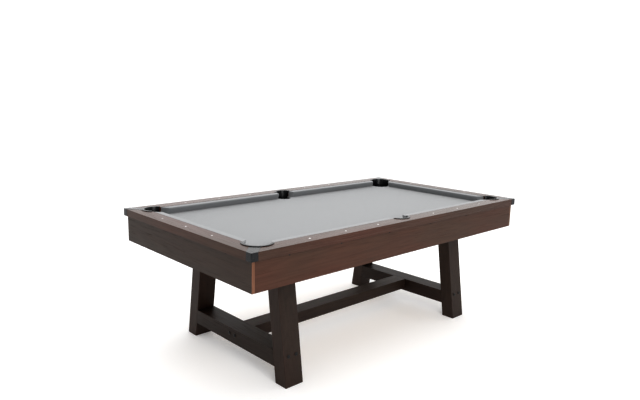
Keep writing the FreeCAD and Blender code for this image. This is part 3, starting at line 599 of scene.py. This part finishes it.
def rounded_outline(corners, radii, steps=5):
    """A closed outline with each corner replaced by an arc of its radius. The arc starts and
    ends on the two sides, at the corner's radius over the tangent of half its angle."""
    corners = np.asarray(corners, float)
    before, after = np.roll(corners, 1, 0) - corners, np.roll(corners, -1, 0) - corners
    before /= np.linalg.norm(before, axis=1)[:, None]
    after /= np.linalg.norm(after, axis=1)[:, None]
    half = np.arccos(np.clip((before * after).sum(1), -1, 1)) / 2
    radii = np.asarray(radii, float)
    middle = before + after
    middle /= np.linalg.norm(middle, axis=1)[:, None]
    centre = corners + middle * (radii / np.sin(half))[:, None]
    foot = corners + before * (radii / np.tan(half))[:, None] - centre
    end = corners + after * (radii / np.tan(half))[:, None] - centre
    share = np.linspace(0, 1, steps)[None, :, None]
    spread = (math.pi - 2 * half)[:, None, None]
    arcs = (foot[:, None] * np.sin((1 - share) * spread) + end[:, None] * np.sin(share * spread))
    arcs = arcs / np.maximum(np.sin(spread), 1e-9) + centre[:, None]
    return arcs.reshape(-1, 2)


def closed_sweep(sections):
    """Points and faces of a closed outline carried along a path, with both ends closed by a
    fan from their middle. Sections is an array of section, outline point and X, Y, Z."""
    count, around, _ = sections.shape
    points = sections.reshape(-1, 3)
    faces = grid_faces(count, around, wrap_columns=True)
    middles = sections[[0, -1]].mean(1)
    points = np.vstack([points, middles])
    for end, row in ((0, 0), (1, count - 1)):
        ring = row * around + np.arange(around)
        after = row * around + (np.arange(around) + 1) % around
        hub = np.full(around, count * around + end)
        faces += [tuple(t) for t in np.stack([ring, after, hub], 1).tolist()]
    return rebuilt(points, faces)


def joined(shells):
    """Several point and face lists as one."""
    points, faces, start = [], [], 0
    for shell_points, shell_faces in shells:
        points.append(shell_points)
        faces += [tuple(i + start for i in f) for f in shell_faces]
        start += len(shell_points)
    return np.vstack(points), faces


def revolved(profile, steps, centre=(0.0, 0.0)):
    """A closed profile of radius and height turned full circle about an upright axis. Points
    on the axis are merged, so the poles are closed."""
    turn = np.linspace(0, 2 * math.pi, steps, endpoint=False)[:, None]
    points = rings_about(centre, profile[:, 0], profile[:, 1], turn)
    faces = grid_faces(steps, len(profile), wrap_rows=True, wrap_columns=True)
    return rebuilt(points, faces, TOUCHING)


# ---- finishes, each made once -----------------------------------------------
FINISHES = {}


def finish_named(name):
    """The finish of that name, made at its first use."""
    if name not in FINISHES:
        FINISHES[name] = make_finish(name)
    return FINISHES[name]


def make_finish(name):
    """Each maker is called only for its own name, so an unused finish is never made."""
    colours = bpy.context.scene.table_colours
    rail, apron, leg = tuple(colours.rail), tuple(colours.apron), tuple(colours.leg)
    softwood = tuple(colours.softwood)
    makers = {
        "rail_wood_along": lambda: wood_finish(name, rail, "X", (0.3, 0.1, 0.0), 0.24,
                                               specular=0.20),
        "rail_wood_across": lambda: wood_finish(name, rail, "Y", (1.7, 0.4, 0.0), 0.28,
                                                specular=0.18),
        "apron_wood_along": lambda: wood_finish(name, apron, "X", (0.9, 2.1, 0.3), 0.44),
        # painted shade of the end faces: the darker, greyer end apron colour with less red
        "shaded_apron_wood_across": lambda: wood_finish(name, tuple(colours.end_apron), "Y",
                                                 (2.3, 0.7, 0.5), 0.44, red=0.08),
        "leg_wood_up": lambda: wood_finish(name, leg, "Z", (0.2, 0.6, 1.1), 0.46, red=0.12),
        "leg_wood_along": lambda: wood_finish(name, leg, "X", (1.2, 0.2, 0.1), 0.46, red=0.12),
        # painted shade: the cross stretchers get the leg wood at 0.74 of its brightness, for their
        # end faces that turn away from the key light
        "shaded_leg_wood_across": lambda: wood_finish(name, shade(leg, 0.74), "Y", (0.5, 1.4, 0.7), 0.46,
                                               red=0.12),
        "edge_band": lambda: wood_finish(name, tuple(colours.band), "Z", (0.1, 0.2, 0.4), 0.45),
        "softwood_along": lambda: bare_wood_finish(name, softwood, "X", (0.4, 0.3, 0.2)),
        "softwood_across": lambda: bare_wood_finish(name, softwood, "Y", (0.8, 0.1, 0.6)),
        "softwood_up": lambda: bare_wood_finish(name, softwood, "Z", (0.5, 0.9, 0.3)),
        "fibreboard": lambda: board_finish(name, tuple(colours.fibreboard)),
        "grey_cloth": lambda: cloth_finish(name, tuple(colours.cloth)),
        # painted shade: the cloth at 0.16 of its brightness, standing in for the shade in the seam
        # between cushion and wood
        "seam_shaded_cloth": lambda: cloth_finish(name, shade(colours.cloth, 0.16)),
        "black_plastic": lambda: plastic_finish(name, tuple(colours.plastic)),
        "white_pearl": lambda: pearl_finish(name),
        "black_steel": lambda: steel_finish(name, tuple(colours.blackened), 0.3, 0.40),
        "phosphate_steel": lambda: steel_finish(name, tuple(colours.phosphate), 0.0, 0.62),
        "zinc_steel": lambda: steel_finish(name, tuple(colours.zinc), 1.0, 0.34),
        "black_rubber": lambda: rubber_finish(name, tuple(colours.rubber)),
    }
    return makers[name]()


def finish_nodes(pairs):
    """Gives CAD nodes their finish."""
    for node, name in pairs.items():
        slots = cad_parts[node].data.materials
        slots.clear()
        slots.append(finish_named(name).material)


# ---- the operators ----------------------------------------------------------
class TABLE_OT_stage(bpy.types.Operator):
    """Pale floor, white surroundings, soft lights and the camera"""

    bl_idname = "table.stage"
    bl_label = "Stage"

    LIT_POINT = Vector((0.0, 0.0, 0.6))
    KEY_LIGHT = ((-1.5, -4.3, 3.0), 2.6)  # the place and size of each light
    TOP_LIGHT = ((0.2, 0.4, 3.6), 3.2)
    LIGHT_TURNS = (-0.6, 0.7)             # the walls go from dim to bright between these

    def execute(self, context):
        settings = context.scene.table_stage
        self.floor(settings)
        self.surroundings(settings)
        self.softbox("key_light", *self.KEY_LIGHT, settings.key_power)
        self.softbox("top_light", *self.TOP_LIGHT, settings.key_power * settings.top_share)
        self.camera(context.scene, settings)
        return {"FINISHED"}

    def floor(self, settings):
        half = settings.floor_half
        mesh = bpy.data.meshes.new("floor")
        corners = [(-half, -half, 0.0), (half, -half, 0.0), (half, half, 0.0), (-half, half, 0.0)]
        mesh.from_pydata(corners, [], [(0, 1, 2, 3)])
        paint = Finish("floor_paint")
        paint.set(Base_Color=(settings.floor_tone,) * 3, Roughness=0.9,
                  Emission_Color=(1.0, 1.0, 1.0), Emission_Strength=settings.floor_glow)
        mesh.materials.append(paint.material)
        linked("floor", mesh)

    def surroundings(self, settings):
        """White walls, dimmer on the side that the table is seen from. The dot product of
        the direction and the level way ahead goes through a ramp to the brightness."""
        dim, bright = self.LIGHT_TURNS
        world = bpy.data.worlds.new("studio")
        walls = Painter(world, "Background")
        direction = walls.node("ShaderNodeTexCoord", {}, {}, "Generated")
        level_ahead = (-math.sin(settings.azimuth), math.cos(settings.azimuth), 0.0)
        ahead = walls.node("ShaderNodeVectorMath", {"operation": "DOT_PRODUCT"},
                           [direction, level_ahead], "Value")
        walls.set(Color=(1.0, 1.0, 1.0), Strength=walls.node(
            "ShaderNodeMapRange", {"interpolation_type": "SMOOTHSTEP"},
            {"Value": ahead, "From Min": dim, "From Max": bright,
             "To Min": settings.near_light, "To Max": settings.world_light}))
        bpy.context.scene.world = world

    def softbox(self, name, place, size, power):
        """A square light that faces the middle of the table."""
        light = bpy.data.lights.new(name, "AREA")
        light.shape = "SQUARE"
        light.size = size
        light.energy = power
        turn = (self.LIT_POINT - Vector(place)).to_track_quat("-Z", "Y").to_matrix().to_4x4()
        linked(name, light).matrix_world = Matrix.Translation(place) @ turn

    def camera(self, scene, settings):
        """The camera's own axes: back is away from the table, right is level before the roll,
        and up is square to both."""
        a, e, roll = settings.azimuth, settings.elevation, settings.roll
        back = Vector((math.sin(a) * math.cos(e), -math.cos(a) * math.cos(e), math.sin(e)))
        level = Vector((math.cos(a), math.sin(a), 0.0))
        right = level * math.cos(roll) + back.cross(level) * math.sin(roll)
        turn = Matrix((right, back.cross(right), back)).transposed().to_4x4()
        data = bpy.data.cameras.new("camera")
        data.sensor_width = 36.0
        data.lens = settings.lens
        data.clip_end = 100.0
        scene.camera = linked("camera", data)
        scene.camera.matrix_world = Matrix.Translation(settings.camera_place) @ turn
        scene.view_settings.view_transform = "Standard"
        scene.view_settings.look = "High Contrast"


class TABLE_OT_woodwork(bpy.types.Operator):
    """Finishes of the rails, caps, aprons, legs, stretchers and the timber under the bed"""

    bl_idname = "table.woodwork"
    bl_label = "Woodwork"

    def execute(self, context):
        pairs = {
            "side_rail_front": "rail_wood_along",
            "side_rail_back": "rail_wood_along",
            "end_rail_left": "rail_wood_across",
            "end_rail_right": "rail_wood_across",
            "side_apron_front": "apron_wood_along",
            "side_apron_back": "apron_wood_along",
            "end_apron_left": "shaded_apron_wood_across",
            "end_apron_right": "shaded_apron_wood_across",
            "apron_edge_bands": "edge_band",
            "cross_stretcher_left": "shaded_leg_wood_across",
            "cross_stretcher_right": "shaded_leg_wood_across",
            "long_stretcher": "leg_wood_along",
            "bed_panel": "fibreboard",
            "apron_corner_blocks": "softwood_up",
            "bed_cleats": "softwood_along",
            "bed_joist_left": "softwood_across",
            "bed_joist_right": "softwood_across",
            "leg_beam_left": "softwood_across",
            "leg_beam_right": "softwood_across",
        }
        pairs.update({f"leg_{corner}": "leg_wood_up" for corner in CORNERS})
        pairs.update({f"corner_cap_{corner}": "black_plastic" for corner in CORNERS})
        finish_nodes(pairs)
        return {"FINISHED"}


class TABLE_OT_hardware(bpy.types.Operator):
    """Finishes of the hidden fasteners and the levelling feet"""

    bl_idname = "table.hardware"
    bl_label = "Hardware"

    def execute(self, context):
        names = ("beam_brackets", "leg_bolts", "barrel_nuts", "rail_bolts", "rail_inserts",
                 "wood_screws", "leveler_sleeves")
        pairs = {name: "zinc_steel" for name in names}
        pairs.update({f"leveler_stem_{corner}": "zinc_steel" for corner in CORNERS})
        pairs.update({f"leveler_pad_{corner}": "black_rubber" for corner in CORNERS})
        finish_nodes(pairs)
        return {"FINISHED"}


class TABLE_OT_eased_edges(bpy.types.Operator):
    """Small bevels on the boards and the moulded corner caps, over their own CAD solids"""

    bl_idname = "table.eased_edges"
    bl_label = "Eased edges"

    def execute(self, context):
        sizes = context.scene.table_sizes
        for node in BOARDS:
            self.ease(node, sizes.board_edge)
        for corner in CORNERS:
            self.ease(f"corner_cap_{corner}", sizes.moulded_edge)
        return {"FINISHED"}

    def ease(self, node, width):
        """The solid's faces are loose from each other, so they are welded first, and the
        triangles of each flat face become one face, so that the bevel keeps an even width."""
        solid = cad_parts[node]
        weld = solid.modifiers.new("weld", "WELD")
        weld.merge_threshold = TOUCHING
        flat = solid.modifiers.new("flat_faces", "DECIMATE")
        flat.decimate_type = "DISSOLVE"
        flat.angle_limit = math.radians(0.5)
        bevel = solid.modifiers.new("eased_edges", "BEVEL")
        bevel.width = width
        bevel.segments = 2
        bevel.limit_method = "ANGLE"
        bevel.angle_limit = math.radians(50.0)
        bevel.harden_normals = True
        bevel.loop_slide = False


class TABLE_OT_pockets(bpy.types.Operator):
    """Six moulded pockets: a round cup, and a funnel with a flange that lies on the rail"""

    bl_idname = "table.pockets"
    bl_label = "Pockets"

    CUP_RADII = (0.004, 0.0012, 0.0012, 0.004)  # foot, both edges of the mouth, inside the floor
    LIP_RADII = (0.0004, 0.0004, 0.001, 0.0008, 0.0004)  # from the cup's mouth to the flange
    THROAT_RADIUS = 0.004                       # where the funnel turns down to the cup

    def execute(self, context):
        sizes = context.scene.table_sizes
        for name in POCKETS:
            measures = pocket_measures(name)
            shells = [self.cup(measures, sizes), self.funnel(measures, sizes)]
            piece = mesh_piece(f"moulded_pocket_{name}", joined(shells), "black_plastic")
            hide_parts(f"pocket_{name}")
        return {"FINISHED"}

    def cup(self, m, sizes):
        """A wall and floor of even thickness, turned full circle; the foot is rounded."""
        corners = [(m["outer"], m["foot"]), (m["outer"], m["cup_top"]), (m["cup"], m["cup_top"]),
                   (m["cup"], m["floor"])]
        outline = rounded_outline(corners, self.CUP_RADII, 6)
        axis = np.array([(0.0, m["floor"]), (0.0, m["foot"])])
        return revolved(np.vstack([outline, axis]), sizes.arc_steps * 4, m["centre"])

    def funnel(self, m, sizes):
        """The half behind the cup. Every point of a closed profile of radius and height is
        swung from one end to the other; at a side pocket the swing stops at the line where
        the wood starts, which is the arc cosine of the line's offset over the radius."""
        wall = m["outer"] - m["cup"]
        low, seat = m["cup_top"], m["seat"]
        corners = [(m["cup"], low), (m["outer"], low), (m["outer"], CLOTH_TOP),
                   (m["rim"] + wall, seat), (m["flange"], seat), (m["flange"], m["top"]),
                   (m["rim"], m["top"]), (m["cup"], CLOTH_TOP)]
        edge = sizes.flange_round
        radii = [*self.LIP_RADII, edge, edge, self.THROAT_RADIUS]
        outline = rounded_outline(corners, radii, 6)
        centre = m["centre"]
        if m["corner"]:
            outward = math.atan2(side_of(centre[1]), side_of(centre[0]))
            reach = np.full(len(outline), math.pi / 2)
        else:
            outward = math.pi / 2 * side_of(centre[1])
            offset = WOOD_Y - abs(centre[1])
            reach = np.arccos(np.clip(offset / outline[:, 0], -1, 1))
        swing = np.linspace(-1, 1, sizes.arc_steps * 2 + 1)[:, None] * reach[None] + outward
        points = rings_about(centre, outline[:, 0], outline[:, 1], swing)
        return closed_sweep(points.reshape(*swing.shape, 3))


class TABLE_OT_cushions(bpy.types.Operator):
    """Six cushions: rubber wrapped in cloth, with rounded noses and cut ends at the pockets"""

    bl_idname = "table.cushions"
    bl_label = "Cushions"

    NOSE_ABOVE = 0.003   # the nose's flat, over and under its height
    NOSE_BELOW = 0.004
    TUCK_WIDTH = 0.0035  # the cloth's turn down beside the wood
    # the painted seam shade is kept to faces above this height
    SEAM_SHADE_ABOVE = 0.03   # the turn is all above this height over the bed cloth
    FOOT_RADII = (0.0015, 0.0006, 0.0003, 0.0022)  # the foot's front and back, the tuck, the top

    def execute(self, context):
        sizes = context.scene.table_sizes
        for place in CORNERS + ("end_left", "end_right"):
            m = cushion_measures(f"cushion_{place}")
            piece = mesh_piece(f"wrapped_cushion_{place}", self.shape(m, sizes), "grey_cloth")
            self.paint_seam_shade(piece.data, m)
            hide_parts(f"cushion_{place}")
        return {"FINISHED"}

    def paint_seam_shade(self, mesh, m):
        """Paints shade into the seam beside the wood: the faces that slope down to the wood, where
        the cloth turns under, get a much darker copy of the cloth. They face partly to the back
        and up, and lie above the nose's foot."""
        count = len(mesh.polygons)
        normal, middle = np.empty(count * 3), np.empty(count * 3)
        mesh.polygons.foreach_get("normal", normal)
        mesh.polygons.foreach_get("center", middle)
        normal, height = normal.reshape(-1, 3), middle.reshape(-1, 3)[:, 2]
        behind = m["side"] * normal[:, m["across"]]
        # the faces that get the painted seam shade, a darker copy of the same cloth
        seam_shaded = (behind > 0.25) & (behind < 0.98) & (normal[:, 2] > 0.05)
        seam_shaded &= height > CLOTH_TOP + self.SEAM_SHADE_ABOVE
        mesh.materials.append(finish_named("seam_shaded_cloth").material)
        mesh.polygons.foreach_set("material_index", seam_shaded.astype(np.int32))

    def shape(self, m, sizes):
        """A rounded section of distance behind the nose and height, carried along the rail.
        Each point's run is blended between where the nose and where the back end, so the ends
        are cut on the slant, and the last sections draw in on a quarter circle."""
        width = m["back"] - m["nose"]
        top, nose_z = m["top"], CLOTH_TOP + sizes.nose_height
        corners = [(sizes.foot_depth, CLOTH_TOP), (width, CLOTH_TOP),
                   (width, top - sizes.seam_depth), (width - self.TUCK_WIDTH, top),
                   (0.0, nose_z + self.NOSE_ABOVE), (0.0, nose_z - self.NOSE_BELOW)]
        radii = [*self.FOOT_RADII, sizes.nose_radius * 0.55, sizes.nose_radius * 0.8]
        outline = rounded_outline(corners, radii, 7)
        stations = self.stations(m["nose_ends"][1] - m["nose_ends"][0], sizes.facing_radius)
        share, draw = stations[:, 0], stations[:, 1]
        middle = outline.mean(0)
        reach = np.linalg.norm(outline - middle, axis=1)
        scale = 1.0 - draw[:, None] / reach[None]
        depth = middle[0] + (outline[:, 0] - middle[0])[None] * scale
        height = middle[1] + (outline[:, 1] - middle[1])[None] * scale
        slant = depth / width
        starts = m["nose_ends"][0] + (m["back_ends"][0] - m["nose_ends"][0]) * slant
        ends = m["nose_ends"][1] + (m["back_ends"][1] - m["nose_ends"][1]) * slant
        along = starts + (ends - starts) * share[:, None]
        sections = np.empty((*along.shape, 3))
        sections[..., m["along"]] = along
        sections[..., m["across"]] = m["side"] * (m["nose"] + depth)
        sections[..., 2] = height
        return closed_sweep(sections)

    def stations(self, length, radius):
        """Rows of share of the length and how far the section draws in: a quarter circle at
        each end, and even steps between."""
        arc = np.linspace(0, math.pi / 2, 6)
        first = np.stack([radius * (1 - np.cos(arc)) / length, radius * (1 - np.sin(arc))], 1)
        last = np.stack([1 - first[::-1, 0], first[::-1, 1]], 1)
        between = np.linspace(first[-1, 0], last[0, 0], 60)[1:-1]
        middle = np.stack([between, 0 * between], 1)
        return np.vstack([first, middle, last])


class TABLE_OT_bed_cloth(bpy.types.Operator):
    """The bed cloth, stretched flat and rolled down into the pocket holes"""

    bl_idname = "table.bed_cloth"
    bl_label = "Bed cloth"

    GRID_STEP = 0.04

    def execute(self, context):
        sizes = context.scene.table_sizes
        low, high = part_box("bed_cloth")
        holes = [self.hole(name, sizes.cloth_gauge) for name in POCKETS]
        centres = np.array([centre for centre, _ in holes])
        radii = np.array([radius for _, radius in holes])
        shell = self.sheet(low, high, centres, radii, sizes)
        cloth = mesh_piece("stretched_bed_cloth", shell, "grey_cloth")
        gauge = cloth.modifiers.new("gauge", "SOLIDIFY")
        gauge.thickness = sizes.cloth_gauge
        gauge.offset = -1.0
        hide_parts("bed_cloth")
        return {"FINISHED"}

    def hole(self, name, gauge):
        """Centre and radius of the sheet's face in a pocket's hole: a gauge inside the wood."""
        centre = pocket_measures(name)["centre"]
        distance = np.hypot(*(points_of("bed_cloth")[:, :2] - centre).T)
        return centre, distance.min() - gauge

    def sheet(self, low, high, centres, radii, sizes):
        """A flat triangulated sheet round six circles, and inside each circle a lip: the
        quarter turn of the roll, then a short fall. The circles are a roll wider than the
        holes, at the centre plus the radius times the cosine and sine of each turn."""
        outer = radii + sizes.lip_radius
        around = sizes.arc_steps * 4
        turn = np.linspace(0, 2 * math.pi, around, endpoint=False)
        unit = np.stack([np.cos(turn), np.sin(turn)], 1)
        circles = centres[:, None] + outer[:, None, None] * unit
        frame_line = np.array([(low.x, low.y), (high.x, low.y), (high.x, high.y), (low.x, high.y)])
        flat = np.vstack([frame_line, circles.reshape(-1, 2),
                          self.inner_grid(low, high, centres, outer)])
        loops = [np.arange(4)] + [4 + around * i + np.arange(around) for i in range(len(radii))]
        edges = np.vstack([np.stack([loop, np.roll(loop, -1)], 1) for loop in loops])
        made = delaunay_2d_cdt([Vector(p) for p in flat.tolist()], edges.tolist(), [], 0, 1e-7)
        points = np.array([(v.x, v.y, CLOTH_TOP) for v in made[0]])
        triangles = np.array(made[2])
        middles = points[triangles, :2].mean(1)
        kept = triangles[self.clear_of(middles, centres, outer - FINE)]
        lips = [self.lip(c, r, sizes, turn) for c, r in zip(centres, radii)]
        return rebuilt(*joined([(points, kept.tolist())] + lips), FINE, face_up=True)

    def clear_of(self, places, centres, radii):
        """Which places lie outside all the circles."""
        away = np.linalg.norm(places[:, None] - centres[None], axis=-1)
        return (away > radii).all(1)

    def inner_grid(self, low, high, centres, outer):
        """Points every few centimetres, clear of the holes."""
        step = self.GRID_STEP
        x = np.arange(low.x + step, high.x - step / 2, step)
        y = np.arange(low.y + step, high.y - step / 2, step)
        grid = np.stack(np.meshgrid(x, y), -1).reshape(-1, 2)
        return grid[self.clear_of(grid, centres, outer + step * 0.35)]

    def lip(self, centre, radius, sizes, turn):
        """Rings of the roll: radius plus roll times one minus the sine, and height less roll
        times one minus the cosine, then a straight fall."""
        roll = sizes.lip_radius
        bend = np.linspace(0, math.pi / 2, 7)
        rings = np.stack([radius + roll * (1 - np.sin(bend)),
                          CLOTH_TOP - roll * (1 - np.cos(bend))], 1)
        rings = np.vstack([rings, (radius, CLOTH_TOP - roll - sizes.lip_fall)])
        points = rings_about(centre, rings[:, :1], rings[:, 1:], turn)
        return points, grid_faces(len(rings), len(turn), wrap_columns=True)


class TABLE_OT_sights(bpy.types.Operator):
    """Eighteen round pearl sights, a little domed, in the rail tops"""

    bl_idname = "table.sights"
    bl_label = "Sights"

    def execute(self, context):
        rise = context.scene.table_sizes.sight_rise
        shells = [self.dome(part, rise) for part in loose_parts("rail_sights")]
        piece = mesh_piece("pearl_sights", joined(shells), "white_pearl")
        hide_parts("rail_sights")
        return {"FINISHED"}

    def dome(self, part, rise):
        """A disc whose top rises as the square of the distance from its rim."""
        low, high = part.min(0), part.max(0)
        centre, radius = (low + high) / 2, (high[0] - low[0]) / 2
        share = np.linspace(1, 0, 7)
        top = np.stack([share * radius, high[2] + rise * (1 - share ** 2)], 1)
        profile = np.vstack([[(0.0, low[2]), (radius, low[2])], top])
        return revolved(profile, 28, centre[:2])


class TABLE_OT_bolt_heads(bpy.types.Operator):
    """Blackened bolts with domed heads and hexagon sockets, and the apron screws"""

    bl_idname = "table.bolt_heads"
    bl_label = "Bolt heads"

    AROUND = 48
    SOCKET_SHARE = 0.42  # the socket's flats, as a share of the head's radius
    TIP = 0.0015         # length of the blunt tip

    def execute(self, context):
        for node in ("stretcher_bolts", "long_stretcher_bolts"):
            self.add(node, "black_steel", countersunk=False)
        self.add("apron_screws", "phosphate_steel", countersunk=True)
        return {"FINISHED"}

    def add(self, node, finish, countersunk):
        shells = [self.fastener(part, countersunk) for part in loose_parts(node)]
        piece = mesh_piece(f"blackened_{node}", joined(shells), finish)
        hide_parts(node)

    def axis_of(self, part):
        """Where the head starts, the direction from head to tip, the length, and how far each
        point lies along the axis and away from it. The axis is the points' first principal
        direction."""
        middle = part.mean(0)
        direction = np.linalg.svd(part - middle, full_matrices=False)[2][0]
        along = (part - middle) @ direction
        away = np.linalg.norm(part - middle - np.outer(along, direction), axis=1)
        if away[along > 0].max() > away[along < 0].max():
            direction, along = -direction, -along
        ends = (along.min(), along.max())
        start = middle + direction * ends[0]
        centre = part[along < ends[0] + HAIR].mean(0)
        start = centre if np.linalg.norm(centre - start) < 0.002 else start
        return start, direction, ends[1] - ends[0], along - ends[0], away

    def fastener(self, part, countersunk):
        """A head and shank made along +Z from the origin, turned and moved to their place. A
        countersunk head is as deep as it stands out from its shank."""
        start, direction, length, along, away = self.axis_of(part)
        head, shank = away.max(), away[along > length / 2].max()
        thick = head - shank if countersunk else along[away > shank * 1.2].max()
        points, faces = self.turned_steel(head, shank, thick, length, countersunk)
        turn = np.array(Vector((0, 0, 1)).rotation_difference(Vector(direction)).to_matrix())
        return points @ turn.T + start, faces

    def turned_steel(self, head, shank, thick, length, countersunk):
        """A head, shank and blunt tip turned about the axis, with a hexagon socket. The
        socket's radius at each angle is its flat distance over the cosine from a flat. A
        domed head's rim falls back as one minus the cosine; a countersunk head is flat."""
        turn = np.linspace(0, 2 * math.pi, self.AROUND, endpoint=False)
        flat = head * self.SOCKET_SHARE
        hexagon = flat / np.cos((turn + math.pi / 6) % (math.pi / 3) - math.pi / 6)
        bend = np.linspace(0, math.pi / 2, 6)
        crown = np.stack([head * (0.62 + 0.38 * np.sin(bend)),
                          (0.0 if countersunk else thick * 0.45) * (1 - np.cos(bend))], 1)
        under = shank if countersunk else head
        outside = np.vstack([crown, [(under, thick), (shank, thick), (shank, length - self.TIP),
                                     (shank * 0.7, length), (0.0, length)]])
        radius = np.vstack([0 * hexagon, hexagon, hexagon, outside[:, :1] + 0 * hexagon])
        height = np.concatenate([[thick * 0.62, thick * 0.62, thick * 0.02], outside[:, 1]])
        points = rings_about((0.0, 0.0), radius, height[:, None], turn)
        return rebuilt(points, grid_faces(len(radius), self.AROUND, wrap_columns=True), TOUCHING)


class TABLE_PT_finishes(bpy.types.Panel):
    """Lists the pieces, the stage and their settings"""

    bl_idname = "TABLE_PT_finishes"
    bl_label = "Pool table"
    bl_space_type = "VIEW_3D"
    bl_region_type = "UI"
    bl_category = "Pool table"

    def draw(self, context):
        for group in (context.scene.table_sizes, context.scene.table_colours,
                      context.scene.table_stage):
            box = self.layout.box()
            for name in group.__annotations__:
                box.prop(group, name)
        for operator in OPERATORS:
            self.layout.operator(operator.bl_idname)


OPERATORS = (
    TABLE_OT_woodwork,
    TABLE_OT_hardware,
    TABLE_OT_eased_edges,
    TABLE_OT_pockets,
    TABLE_OT_cushions,
    TABLE_OT_bed_cloth,
    TABLE_OT_sights,
    TABLE_OT_bolt_heads,
    TABLE_OT_stage,
)
GROUPS = {
    "table_sizes": TableSizes,
    "table_colours": TableColours,
    "table_stage": StageSettings,
}


def register():
    for group in GROUPS.values():
        bpy.utils.register_class(group)
    for name, group in GROUPS.items():
        setattr(bpy.types.Scene, name, PointerProperty(type=group))
    for operator in OPERATORS:
        bpy.utils.register_class(operator)
    bpy.utils.register_class(TABLE_PT_finishes)


def unregister():
    bpy.utils.unregister_class(TABLE_PT_finishes)
    for operator in reversed(OPERATORS):
        bpy.utils.unregister_class(operator)
    for name in GROUPS:
        delattr(bpy.types.Scene, name)
    for group in GROUPS.values():
        bpy.utils.unregister_class(group)


def main():
    """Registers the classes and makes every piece."""
    register()
    for operator in OPERATORS:
        group, action = operator.bl_idname.split(".")
        getattr(getattr(bpy.ops, group), action)()


if __name__ == "__main__":
    main()
